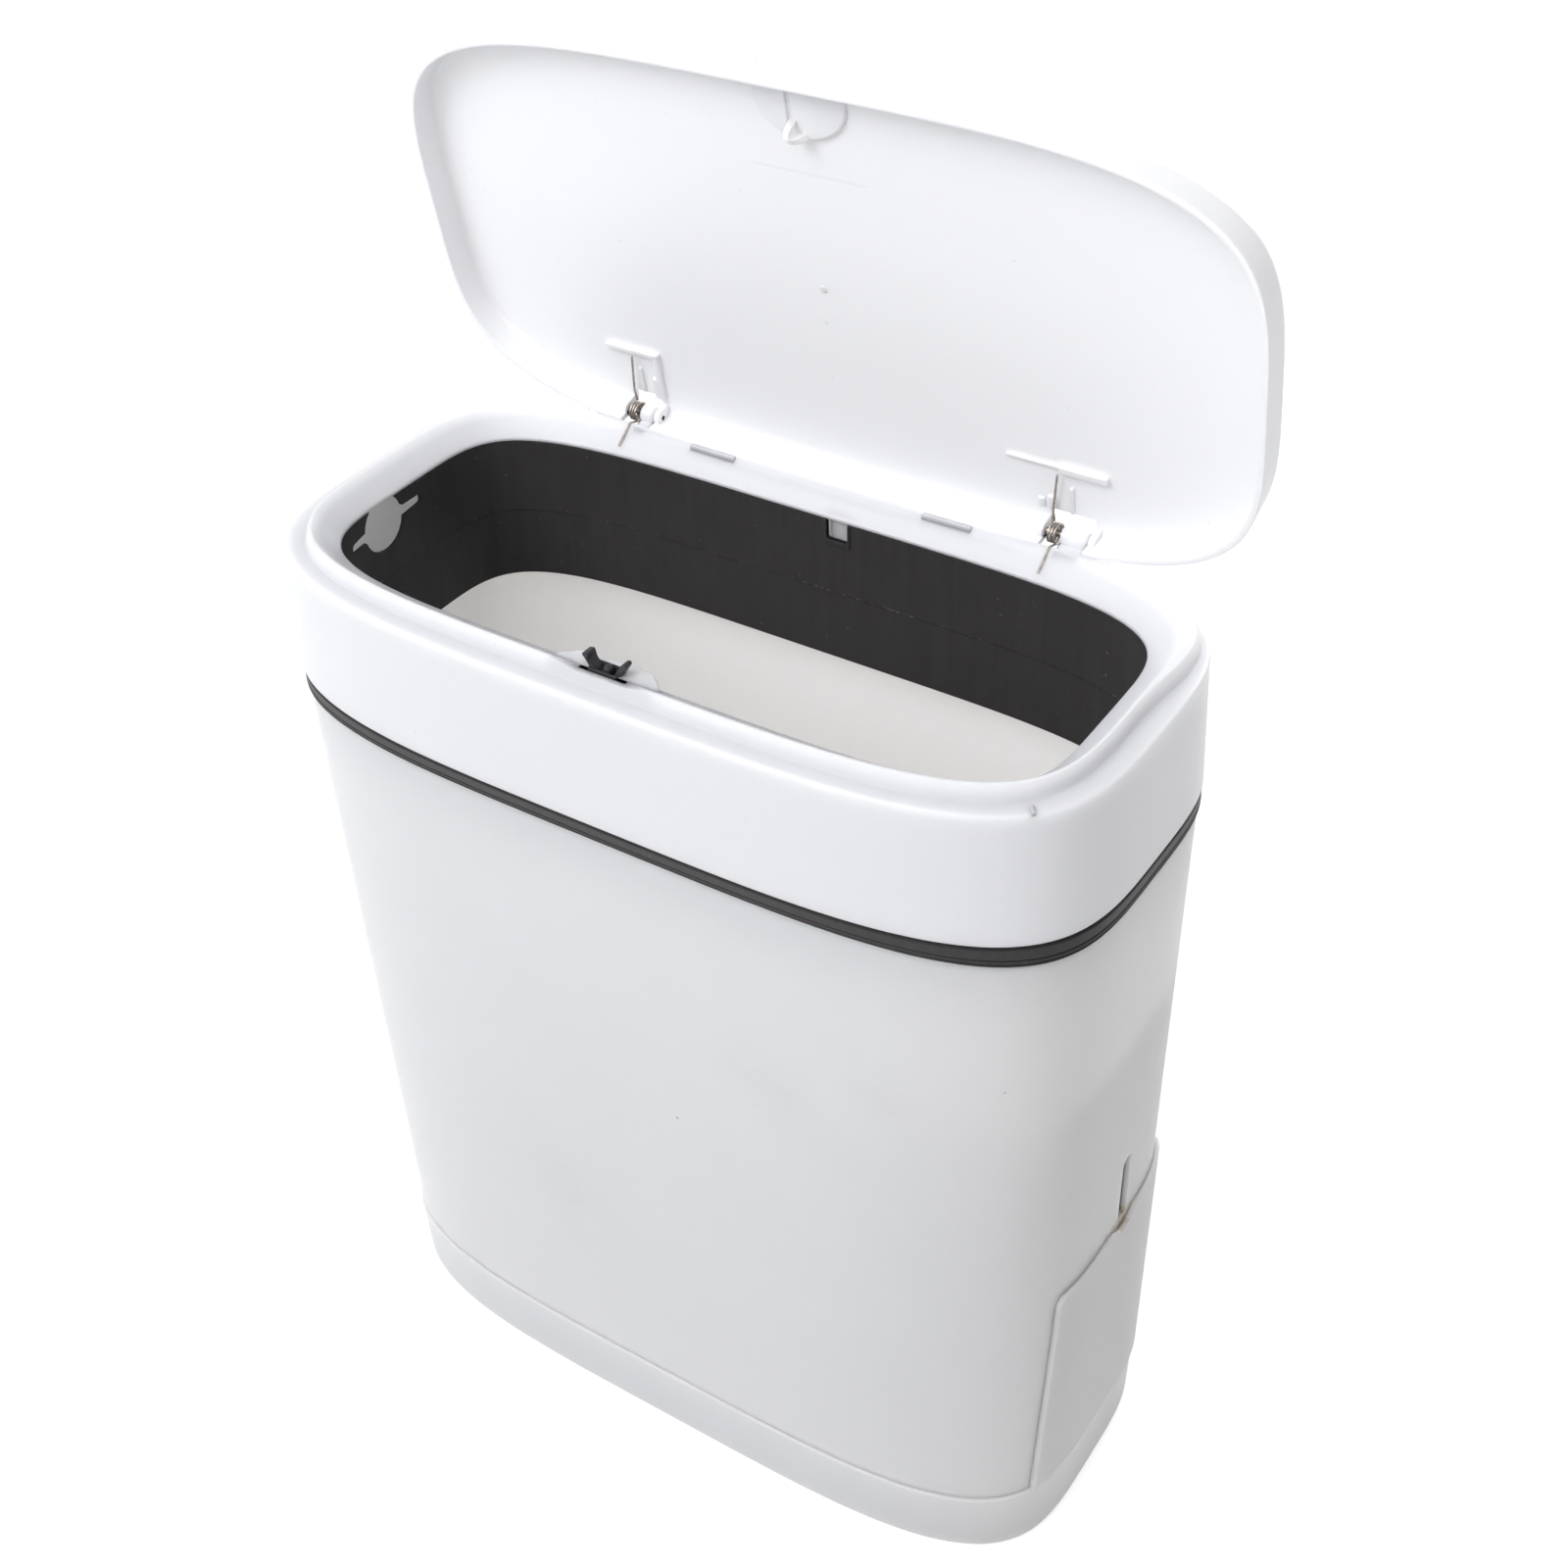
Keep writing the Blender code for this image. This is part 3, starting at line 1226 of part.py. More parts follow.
def main():
    for thing in list(bpy.data.objects):
        bpy.data.objects.remove(thing)

    white = plastic("white_plastic", WHITE, 0.38)
    warm = plastic("warm_white_plastic", WARM_WHITE, 0.42)
    black = plastic("black_plastic", BLACK, 0.50)
    steel = plastic("spring_steel", STEEL, 0.35, 1.0)
    grey_blue = plastic("grey_blue_plastic", GREY_BLUE, 0.45)
    pale = plastic("bristle_nylon", PALE, 0.60)

    base_tray(warm)
    body_shell(warm)
    bay_stand(warm)
    brush_bay(warm)
    bag_ring(black)
    collar(white)

    lid_hinge = empty("lid_hinge", (0, hinge_y, hinge_z), rotation=-OPEN_ANGLE)
    lid_shell(white, lid_hinge)
    striker(white, lid_hinge)
    hinge_pin("hinge_pin_left", *hinges[0], steel, lid_hinge)
    hinge_pin("hinge_pin_right", *hinges[1], steel, lid_hinge)
    hinge_spring("hinge_spring_left", hinge_left_x, steel)
    hinge_spring("hinge_spring_right", hinge_right_x, steel)

    latch_housing(black)
    latch_spring(steel)
    latch_slide = empty("latch_slide", (0, latch_place(), latch_heights()[0]))
    latch_plunger(black, latch_slide)
    latch_claw("latch_claw_left", -1, black, latch_slide)
    latch_claw("latch_claw_right", 1, black, latch_slide)

    caddy_slide = empty("caddy_slide", (0, 0, 0))
    caddy_panel(warm, caddy_slide)
    caddy_cup(warm, caddy_slide)
    brush_lift = empty("brush_lift", (0, 0, 0), caddy_slide)
    brush_bristles(pale, brush_lift)
    brush_head(grey_blue, brush_lift)
    brush_handle(grey_blue, brush_lift)


main()
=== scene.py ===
import math

import bpy
import numpy as np
from mathutils import Matrix, Vector


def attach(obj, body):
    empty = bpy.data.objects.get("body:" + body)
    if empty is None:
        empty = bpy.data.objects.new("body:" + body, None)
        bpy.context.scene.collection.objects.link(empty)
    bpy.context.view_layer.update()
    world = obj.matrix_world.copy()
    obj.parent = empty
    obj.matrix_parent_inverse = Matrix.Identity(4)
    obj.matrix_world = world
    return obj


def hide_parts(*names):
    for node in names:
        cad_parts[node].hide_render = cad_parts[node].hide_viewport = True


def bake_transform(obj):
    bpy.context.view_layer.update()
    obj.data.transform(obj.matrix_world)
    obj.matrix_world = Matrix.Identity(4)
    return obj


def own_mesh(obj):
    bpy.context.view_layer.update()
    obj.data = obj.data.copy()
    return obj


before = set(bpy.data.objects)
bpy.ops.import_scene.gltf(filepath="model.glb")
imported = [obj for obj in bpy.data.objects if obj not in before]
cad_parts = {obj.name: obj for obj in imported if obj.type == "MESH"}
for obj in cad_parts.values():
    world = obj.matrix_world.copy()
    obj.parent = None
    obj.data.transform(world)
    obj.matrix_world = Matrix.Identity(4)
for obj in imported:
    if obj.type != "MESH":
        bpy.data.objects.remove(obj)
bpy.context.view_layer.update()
mm = 0.001      # every dictionary below is in millimetres and degrees, meshes are made in metres
print("frame loaded,", len(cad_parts), "solids")


# Shapes: grids of points, skins over them and cuts

backSine = 0.34     # sine of the ray from which an outline's back is all the way out


def smooth(s):
    # s^2 (3 - 2 s), s kept between 0 and 1
    s = np.clip(s, 0, 1)
    return s * s * (3 - 2 * s)


def grow(row, amount):
    # the same outline, larger all round
    return (row[0] + amount, row[1] + amount) + tuple(row[2:])


def turned(points, angle, columns=(0, 1)):
    # two of the columns turned by degrees: x cos a - y sin a, x sin a + y cos a
    points, turn, (first, second) = np.array(points, float), math.radians(angle), columns
    x, y = points[..., first].copy(), points[..., second].copy()
    points[..., first] = x * math.cos(turn) - y * math.sin(turn)
    points[..., second] = x * math.sin(turn) + y * math.cos(turn)
    return points


def outlineRings(rows, rays):
    # row = half length, half width, power, power at the back, height, how much further the back goes
    # r = (|cos ray / half length|^power + |sin ray / half width|^power)^(-1 / power)
    #     + back * smooth(sin ray / backSine)
    rows = np.asarray(rows, float)
    along, across = np.cos(rays)[None, :], np.sin(rays)[None, :]
    power = np.where(across > 0, rows[:, 3:4], rows[:, 2:3])
    reach = np.abs(along / rows[:, 0:1]) ** power + np.abs(across / rows[:, 1:2]) ** power
    reach = reach ** (-1 / power)
    if rows.shape[1] > 5:
        reach = reach + rows[:, 5:6] * smooth(across / backSine)
    height = np.broadcast_to(rows[:, 4:5], reach.shape)
    return np.stack([reach * along, reach * across, height], axis=2)


def travelled(points):
    # how far along a line of points each one lies
    steps = np.linalg.norm(np.diff(points, axis=0), axis=1)
    return np.concatenate(([0], np.cumsum(steps)))


def evenRays(row, count):
    # directions whose points lie equally far apart round the outline
    dense = np.linspace(0, 2 * np.pi, 7201)
    way = travelled(outlineRings([row], dense)[0])
    return np.interp(np.linspace(0, way[-1], count, endpoint=False), way, dense)


def softCorners(points, radii, steps=5, hoop=True, support=1.9):
    # each corner p becomes the quadratic curve (1-t)^2 a + 2t(1-t) p + t^2 b, a and b its radius away,
    # with one more row outside each end of the curve, which keeps flat stretches flat when shaded
    points = np.asarray(points, float)
    radii = np.broadcast_to(np.asarray(radii, float), len(points))
    before, after = (np.roll(points, way, axis=0) - points for way in (1, -1))

    def towards(side, reach, most):
        # at most that share of the way to the next corner
        length = np.linalg.norm(side, axis=1)
        return (points + side * (np.minimum(reach, most * length) / length)[:, None])[:, None]

    t = np.linspace(0, 1, steps + 1)[None, :, None]
    a, b = towards(before, radii, 0.42), towards(after, radii, 0.42)
    parts = (1 - t) ** 2 * a + 2 * t * (1 - t) * points[:, None] + t ** 2 * b
    if support:
        outer = [towards(side, radii * support, 0.47) for side in (before, after)]
        parts = np.concatenate([outer[0], parts, outer[1]], axis=1)
    if not hoop:
        parts[0], parts[-1] = points[0], points[-1]
    flat = parts.reshape(-1, points.shape[1])
    apart = np.linalg.norm(flat - np.roll(flat, 1, axis=0), axis=1) > 1e-4
    return flat[apart]


def gridQuads(index):
    # the four corners of every cell in a grid of point numbers
    corners = [index[..., :-1, :-1], index[..., :-1, 1:], index[..., 1:, 1:], index[..., 1:, :-1]]
    return np.stack(corners, axis=-1).reshape(-1, 4)


def wrapped(index, axis):
    # the grid with its first row or column once more at the end
    return np.concatenate([index, np.take(index, [0], axis=axis)], axis=axis)


def lathe(rings, hoop=False):
    # a skin over rings of equal count: a hoop joins the last ring to the first,
    # otherwise each end closes on its middle
    rows, count = rings.shape[:2]
    points, index = rings.reshape(-1, 3), np.arange(rows * count).reshape(rows, count)
    if hoop:
        quads = gridQuads(wrapped(wrapped(index, 0), 1))
        return outward(points, quads, np.zeros((0, 3), int))
    points = np.vstack([points, rings[0].mean(0), rings[-1].mean(0)])
    first, last = np.full(count, len(points) - 2), np.full(count, len(points) - 1)
    tris = np.vstack([np.stack([np.roll(index[0], -1), index[0], first], axis=1),
                      np.stack([index[-1], np.roll(index[-1], -1), last], axis=1)])
    return outward(points, gridQuads(wrapped(index, 1)), tris)


def outward(points, quads, tris):
    # turned round where the volume, the sum of p0 . (p1 x p2) / 6 over its triangles, is negative
    p = points[np.vstack([quads[:, [0, 1, 2]], quads[:, [0, 2, 3]], tris])]
    if np.einsum("ij,ij->i", p[:, 0], np.cross(p[:, 1], p[:, 2])).sum() < 0:
        quads, tris = quads[:, ::-1], tris[:, ::-1]
    return points, quads, tris


def sheetShell(front, back):
    # two grids of the same size, one behind the other, closed round their four edges
    rows, columns = front.shape[:2]
    behind = rows * columns
    index = np.arange(behind).reshape(rows, columns)
    points = np.vstack([front.reshape(-1, 3), back.reshape(-1, 3)])
    quads = gridQuads(index)
    rim = np.concatenate([index[0, :-1], index[:-1, -1], index[-1, :0:-1], index[:0:-1, 0]])
    side = np.stack([rim, rim + behind, np.roll(rim, -1) + behind, np.roll(rim, -1)], axis=1)
    quads = np.vstack([quads, quads[:, ::-1] + behind, side])
    return outward(points, quads, np.zeros((0, 3), int))


def drawnOut(outline, low, high, rounding=(0, 0), axis="Z", steps=4):
    # an outline carried along an axis; towards a rounded end it shrinks by r (1 - cos a)
    # while a goes to 90 degrees
    outline = np.asarray(outline, float)
    onward = np.roll(outline, -1, axis=0)
    edge = onward - outline
    normal = np.stack([edge[:, 1], -edge[:, 0]], axis=1)
    normal = normal / np.linalg.norm(normal, axis=1)[:, None]
    normal = normal + np.roll(normal, 1, axis=0)
    area = (outline[:, 0] * onward[:, 1] - onward[:, 0] * outline[:, 1]).sum()
    normal = np.sign(area) * normal / np.maximum((normal ** 2).sum(1) / 2, 0.3)[:, None]
    turn = np.linspace(0, np.pi / 2, steps + 1)
    inset = np.concatenate([rounding[0] * (1 - np.sin(turn)), rounding[1] * (1 - np.cos(turn))])
    level = np.concatenate([low + rounding[0] * (1 - np.cos(turn)),
                            high - rounding[1] * (1 - np.sin(turn))])
    keep = np.concatenate(([True], np.abs(np.diff(level)) + np.abs(np.diff(inset)) > 1e-5))
    flat = outline[None] - normal[None] * inset[keep][:, None, None]
    height = np.broadcast_to(level[keep][:, None, None], flat.shape[:2] + (1,))
    order = {"X": [2, 0, 1], "Y": [0, 2, 1], "Z": [0, 1, 2]}[axis]
    return lathe(np.concatenate([flat, height], axis=2)[:, :, order])


def rectangle(low, high, radius, steps=3):
    # corner k is the arc middle + r (cos a, sin a), a over the quarter that starts at (k - 2) * 90
    turn = np.radians(np.array([180, 270, 0, 90])[:, None] + np.linspace(0, 90, steps + 1))
    left, right, bottom, top = low[0] + radius, high[0] - radius, low[1] + radius, high[1] - radius
    middleX = np.array([left, right, right, left])[:, None]
    middleY = np.array([bottom, bottom, top, top])[:, None]
    arcs = [middleX + radius * np.cos(turn), middleY + radius * np.sin(turn)]
    return np.stack(arcs, axis=2).reshape(-1, 2)


def roundedBlock(low, high, radius, rounding=None):
    # a block whose upright edges have one radius and whose two ends have another
    outline = rectangle(low[:2], high[:2], radius)
    ends = (0.9 * radius, 0.9 * radius) if rounding is None else rounding
    return drawnOut(outline, low[2], high[2], ends)


def circleOf(centre, radius, count=48, start=0.0, sweep=2 * math.pi):
    turn = start + np.linspace(0, sweep, count, endpoint=abs(sweep) < 6.28)
    return np.stack([centre[0] + radius * np.cos(turn), centre[1] + radius * np.sin(turn)], axis=1)


def tube(path, radius, sides):
    # rings square to the path: each side vector is the last one with the new tangent's share
    # taken out; the ends are smaller rings a little further out
    tangent = np.gradient(path, axis=0)
    tangent /= np.linalg.norm(tangent, axis=1)[:, None]
    side = np.cross(tangent[0], (0.31, 0.52, 0.79))
    sideways = np.zeros_like(path)
    for i, way in enumerate(tangent):
        side = side - way * np.dot(side, way)
        side /= np.linalg.norm(side)
        sideways[i] = side
    other = np.cross(tangent, sideways)
    turn = np.linspace(0, 2 * np.pi, sides, endpoint=False)[None, :, None]
    rings = path[:, None] + radius * (np.cos(turn) * sideways[:, None] + np.sin(turn) * other[:, None])
    ends = [path[i] + way * tangent[i] * radius * 0.35 + (rings[i] - path[i]) * 0.55
            for i, way in ((0, -1), (-1, 1))]
    return lathe(np.concatenate([[ends[0]], rings, [ends[1]]]))


def smoothPath(points, spacing, window):
    # evenly spaced points, then the mean of each with its neighbours, so that sharp bends go round
    way = travelled(points)
    even = np.linspace(0, way[-1], max(int(way[-1] / spacing), 8))
    path = np.stack([np.interp(even, way, points[:, i]) for i in range(3)], axis=1)
    wide = int(window / spacing)
    padded = np.vstack([2 * path[0] - path[wide:0:-1], path, 2 * path[-1] - path[-2:-wide - 2:-1]])
    kernel = np.ones(2 * wide + 1) / (2 * wide + 1)
    return np.stack([np.convolve(padded[:, i], kernel, "valid") for i in range(3)], axis=1)


def asMesh(name, *shells):
    points, faces, offset = [], [], 0
    for places, quads, others in shells:
        points.append(places)
        faces += (quads + offset).tolist() + (others + offset).tolist()
        offset += len(places)
    mesh = bpy.data.meshes.new(name)
    mesh.from_pydata(np.vstack(points) * mm, [], faces)
    thing = bpy.data.objects.new(name, mesh)
    bpy.context.scene.collection.objects.link(thing)
    return thing


def cut(target, shell):
    # one exact boolean, applied at once
    tool = asMesh("tool", shell)
    modifier = target.modifiers.new("cut", "BOOLEAN")
    modifier.operation, modifier.solver, modifier.object = "DIFFERENCE", "EXACT", tool
    bpy.context.view_layer.update()
    evaluated = target.evaluated_get(bpy.context.evaluated_depsgraph_get())
    result = bpy.data.meshes.new_from_object(evaluated)
    target.modifiers.clear()
    target.data = result
    bpy.data.objects.remove(tool)


def joinThings(target, *others):
    selected = [target, *others]
    with bpy.context.temp_override(active_object=target, selected_editable_objects=selected):
        bpy.ops.object.join()


def addShells(target, *shells):
    # more closed shells in the same mesh
    joinThings(target, asMesh("extra", *shells))


def swingOpen(thing):
    # the lid is drawn shut, then turned about its pin to where it stands
    place = Vector((0, hinge["y"] * mm, hinge["z"] * mm))
    turn = Matrix.Rotation(-math.radians(hinge["open"]), 4, "X")
    thing.data.transform(Matrix.Translation(place) @ turn @ Matrix.Translation(-place))


def finishPiece(thing, finish, body, node, sharp=35.0):
    thing.data.materials.clear()
    thing.data.materials.append(finish.material)
    thing.data.shade_smooth()
    thing.data.set_sharp_from_angle(angle=math.radians(sharp))
    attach(thing, body)
    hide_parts(node)


# Materials: arithmetic on sockets, one method for every other node

class Signal:
    # a socket that adds Math nodes as it is reckoned with
    def __init__(self, tree, socket):
        self.tree, self.socket = tree, socket

    def math(self, operation, *terms, clamp=False):
        node = self.tree.nodes.new("ShaderNodeMath")
        node.operation, node.use_clamp = operation, clamp
        for slot, term in zip(node.inputs, terms):
            if isinstance(term, Signal):
                self.tree.links.new(term.socket, slot)
            else:
                slot.default_value = term
        return Signal(self.tree, node.outputs[0])

    def __add__(self, other): return self.math("ADD", self, other)
    def __radd__(self, other): return self.math("ADD", other, self)
    def __sub__(self, other): return self.math("SUBTRACT", self, other)
    def __rsub__(self, other): return self.math("SUBTRACT", other, self)
    def __mul__(self, other): return self.math("MULTIPLY", self, other)
    def __rmul__(self, other): return self.math("MULTIPLY", other, self)
    def __truediv__(self, other): return self.math("DIVIDE", self, other)
    def __rtruediv__(self, other): return self.math("DIVIDE", other, self)
    def absolute(self): return self.math("ABSOLUTE", self)
    def clamped(self): return self.math("MULTIPLY", self, 1.0, clamp=True)

    def above(self, floor, gain):
        # 0 up to the floor, then rising by the gain, to 1 at most
        return ((self - floor) * gain).clamped()


class Finish:
    # one Principled material: constants go on its sockets, what varies comes through paint, feed
    # and bump
    def __init__(self, name, colour, roughness, **constants):
        self.material = bpy.data.materials.new(name)
        self.material.use_nodes = True
        self.tree = self.material.node_tree
        self.shader = self.tree.nodes["Principled BSDF"]
        self.shade = (*colour, 1.0)
        sockets = {"Base Color": self.shade, "Roughness": roughness, "IOR": 1.46, **constants}
        for socket, value in sockets.items():
            self.shader.inputs[socket.replace("_", " ")].default_value = value
        self.place = self.node("ShaderNodeTexCoord", output="Object")
        split = self.node("ShaderNodeSeparateXYZ", {}, {0: self.place}).socket.node
        self.x, self.y, self.z = (Signal(self.tree, output) for output in split.outputs)

    def node(self, kind, settings=None, sockets=None, output=0):
        node = self.tree.nodes.new(kind)
        for key, value in (settings or {}).items():
            setattr(node, key, value)
        for key, value in (sockets or {}).items():
            if isinstance(value, Signal):
                self.tree.links.new(value.socket, node.inputs[key])
            else:
                node.inputs[key].default_value = value
        return Signal(self.tree, node.outputs[output])

    def noise(self, size, detail=2.0, roughness=0.5, stretch=None, distortion=0.0):
        # size is how wide a blotch is, in mm
        vector = self.place
        if stretch:
            vector = self.node("ShaderNodeMapping", {}, {"Vector": self.place, "Scale": stretch})
        return self.node("ShaderNodeTexNoise", {}, {
            "Vector": vector, "Scale": 1 / (size * mm), "Detail": detail,
            "Roughness": roughness, "Distortion": distortion})

    def between(self, value, low, high, soft):
        # 1 between two places in mm, falling to 0 over the soft length outside them
        rising = ((value - (low - soft) * mm) / (soft * mm)).clamped()
        return rising * (((high + soft) * mm - value) / (soft * mm)).clamped()

    def near(self, centre, radius, hardness=1.0):
        # 1 at a point, 0 at the radius
        spot = self.node("ShaderNodeVectorMath", {"operation": "DISTANCE"},
                         {0: self.place, 1: tuple(c * mm for c in centre)}, output="Value")
        return ((1 - spot / (radius * mm)) * hardness).clamped()

    def mix(self, share, first, second):
        sockets = {0: share, 6: first, 7: second}
        return self.node("ShaderNodeMix", {"data_type": "RGBA"}, sockets, output=2)

    def paint(self, share, colour):
        # a colour laid over what is there, as thickly as the share says
        self.shade = self.mix(share, self.shade, (*colour, 1.0))
        self.feed("Base Color", self.shade)

    def feed(self, socket, signal):
        self.tree.links.new(signal.socket, self.shader.inputs[socket])

    def bump(self, height, depth):
        # depth is the height of the relief in mm where the signal is 1
        sockets = {"Height": height, "Distance": depth * mm, "Strength": 1.0}
        self.feed("Normal", self.node("ShaderNodeBump", {}, sockets))


# Finishes

whiteLook = dict(dust=(0.46, 0.44, 0.42), flowDark=0.955, through=0.7, scatter=0.013,
                 scatterColour=(1, 1, 0.95), flow=46.0, grain=0.9, dustSize=2.6, relief=0.012)


def whitePlastic(name, colour, roughness, through=whiteLook["through"]):
    # cool white moulding: faint flow marks, a fine grain and a few dust specks
    look = whiteLook
    finish = Finish(name, colour, roughness, Subsurface_Weight=through,
                    Subsurface_Scale=look["scatter"], Subsurface_Radius=look["scatterColour"])
    flow = finish.noise(look["flow"], 3.0, 0.55, distortion=0.6)
    grain = finish.noise(look["grain"], 2.0, 0.6)
    finish.paint((flow * 0.30).clamped(), [c * look["flowDark"] for c in colour])
    finish.paint(finish.noise(look["dustSize"], 1.0, 0.4).above(0.80, 14) * 0.5, look["dust"])
    finish.feed("Roughness", roughness - 0.05 + flow * 0.06 + grain * 0.05)
    finish.bump(grain * 0.6 + flow, look["relief"])
    return finish


bodyLook = dict(
    colour=(0.905, 0.880, 0.875), deep=(0.835, 0.800, 0.795), pink=(0.825, 0.750, 0.725),
    # side is the colour of the painted shade that darkens and warms the right end
    side=(0.850, 0.788, 0.757), smudge=(0.56, 0.54, 0.56), speck=(0.20, 0.17, 0.15),
    dirt=(0.52, 0.41, 0.31), stain=(0.70, 0.60, 0.43), roughness=0.40, through=0.8, scatter=0.024,
    scatterColour=(1, 0.93, 0.86), flow=60.0, grain=0.8, relief=0.014, gapHalf=0.6,
    smudges=(((60.0, -74.0, 226.0), 34.0), ((104.0, -70.0, 240.0), 26.0),
             ((-40.0, -72.0, 120.0), 44.0)),
    specks=(((139.4, -58.2, 253.6), 1.1), ((20.0, -74.5, 190.0), 0.7), ((-96.0, -74.0, 96.0), 0.8)))


def bodyPlastic(name):
    # warm grey-white shell: deeper towards its foot, pinkish at the right, painted shade on the right
    # end, soft smudges and specks
    look = bodyLook
    finish = Finish(name, look["colour"], look["roughness"], Subsurface_Weight=look["through"],
                    Subsurface_Scale=look["scatter"], Subsurface_Radius=look["scatterColour"])
    flow = finish.noise(look["flow"], 3.0, 0.6, distortion=0.8)
    grain = finish.noise(look["grain"], 2.0, 0.6)
    low = (1 - finish.z / 0.33).clamped()
    finish.paint((low * 0.5 + flow * 0.35 - 0.1).clamped(), look["deep"])
    blush = ((finish.x - 0.06) / 0.09).clamped() * (1 - finish.z / 0.22).clamped()
    finish.paint((blush * (flow * 1.2)).clamped() * 0.55, look["pink"])
    # painted shade: from x = 100 mm on, the right end turns darker and warmer, standing in for the
    # dimmer light there
    finish.paint(((finish.x - 0.10) / 0.05).clamped() * (0.42 + flow * 0.2), look["side"])
    for centre, radius in look["smudges"]:
        soft = finish.near(centre, radius)
        finish.paint(soft * soft * (finish.noise(9.0, 3.0, 0.7) * 0.32), look["smudge"])
    for centre, radius in look["specks"]:
        finish.paint(finish.near(centre, radius, 3.0) * 0.8, look["speck"])
    finish.feed("Roughness", look["roughness"] - 0.05 + flow * 0.07 + grain * 0.05)
    finish.bump(grain * 0.7 + flow * 1.5, look["relief"])
    return finish


def paintGap(finish):
    # dirt along the panel's front edge and a stain at the slot's foot, on the body's right end only
    look, dirt = bodyLook, finish.noise(5.0, 3.0, 0.7)
    away = (finish.y - panelEdge(finish)).absolute()
    line = (1 - away / (look["gapHalf"] * mm)).clamped() * finish.between(finish.z, 32, 136, 1.0)
    line = line * finish.x.above(0.10, 1000)
    finish.paint((line * (dirt * 0.9 - 0.1)).clamped() * 0.6, look["dirt"])
    stain = finish.between(finish.y, -3.0, 14.0, 1.0) * finish.between(finish.z, 133.0, 143.0, 0.8)
    stain = stain * finish.x.above(0.13, 1000)
    finish.paint((stain * (0.55 + dirt * 0.7)).clamped(), look["stain"])


def panelEdge(finish):
    # y of the panel's front edge: a straight line from its foot to its top
    foot = binSize["shoulder"]
    share = (finish.z - foot * mm) / ((panel["top"] - foot) * mm)
    wide = panel["footHalfWidth"] + share * (panel["topHalfWidth"] - panel["footHalfWidth"])
    return (panel["y"] - wide) * mm


blackLook = dict(ior=1.25, scuff=(0.34, 0.32, 0.31), streakPale=1.9, streak=3.0, grain=0.7,
                 cloud=24.0, dustSize=1.5, relief=0.012, stepBelow=0.25, stepAbove=0.15)


def blackPlastic(name, colour, roughness, scuffs):
    # dark moulding: upright streaks, fine grain, dust, and pale scuffs along the sleeve's step
    look, step = blackLook, binSize["sleeveStep"]
    finish = Finish(name, colour, roughness, IOR=look["ior"])
    streaks = finish.noise(look["streak"], 2.0, 0.6, stretch=(1.0, 1.0, 0.05))
    grain, cloud = finish.noise(look["grain"], 2.0, 0.6), finish.noise(look["cloud"], 4.0, 0.65)
    pale = [c * look["streakPale"] for c in colour]
    finish.paint((streaks * 0.5 + cloud * 0.4 - 0.2).clamped(), pale)
    dust = finish.noise(look["dustSize"], 1.0, 0.4).above(0.775, 18)
    rubbed = finish.noise(1.7, 3.0, 0.75).above(0.52, 9) * finish.noise(17.0, 2.0, 0.5).above(0.46, 8)
    edge = finish.between(finish.z, step - look["stepBelow"], step + look["stepAbove"], 0.2)
    marks = (dust * 0.5 + rubbed * edge).clamped() * scuffs
    finish.paint(marks, look["scuff"])
    finish.feed("Roughness", roughness + marks * 0.2 + grain * 0.10 - 0.05)
    finish.bump(grain * 0.8 + streaks * 0.5, look["relief"])
    return finish


wireLook = dict(colour=(0.44, 0.40, 0.37), aged=(0.17, 0.12, 0.09), age=2.2, lines=0.25, relief=0.006)


def springWire(name):
    # drawn wire, browned where it has aged, with a fine grain
    look = wireLook
    finish = Finish(name, look["colour"], 0.30, Metallic=1.0)
    age = finish.noise(look["age"], 3.0, 0.65)
    finish.paint(age.above(0.42, 2.4), look["aged"])
    finish.feed("Roughness", 0.24 + age * 0.26)
    finish.bump(finish.noise(look["lines"], 1.0, 0.5), look["relief"])
    return finish


brushLook = dict(colour=(0.36, 0.47, 0.51), cloudy=(0.30, 0.40, 0.435), shadow=(0.06, 0.08, 0.09),
                 shadowFoot=0.166, shadowRise=0.006, relief=0.015)


def brushPlastic(name):
    # grey-blue moulding, darker where the blade's end lies in the slot's shade
    look = brushLook
    finish = Finish(name, look["colour"], 0.42)
    cloud, grain = finish.noise(14.0, 3.0, 0.6), finish.noise(0.8, 2.0, 0.6)
    finish.paint((cloud * 0.5).clamped(), look["cloudy"])
    shadow = ((finish.z - look["shadowFoot"]) / look["shadowRise"]).clamped()
    finish.paint(shadow * 0.45, look["shadow"])
    finish.feed("Roughness", 0.36 + grain * 0.12)
    finish.bump(grain + cloud, look["relief"])
    return finish


nylonLook = dict(colour=(0.82, 0.82, 0.80), cloudy=(0.70, 0.70, 0.69), tips=(0.62, 0.60, 0.55),
                 tipsFoot=0.038, tipsRise=0.02, relief=0.02)


def nylon(name):
    # off-white, a little browned towards the lowest bristles
    look = nylonLook
    finish = Finish(name, look["colour"], 0.48)
    cloud = finish.noise(7.0, 3.0, 0.6)
    finish.paint((cloud * 0.6).clamped(), look["cloudy"])
    tips = (1 - (finish.z - look["tipsFoot"]) / look["tipsRise"]).clamped()
    finish.paint(tips * 0.2, look["tips"])
    finish.feed("Roughness", 0.42 + cloud * 0.16)
    finish.bump(cloud, look["relief"])
    return finish


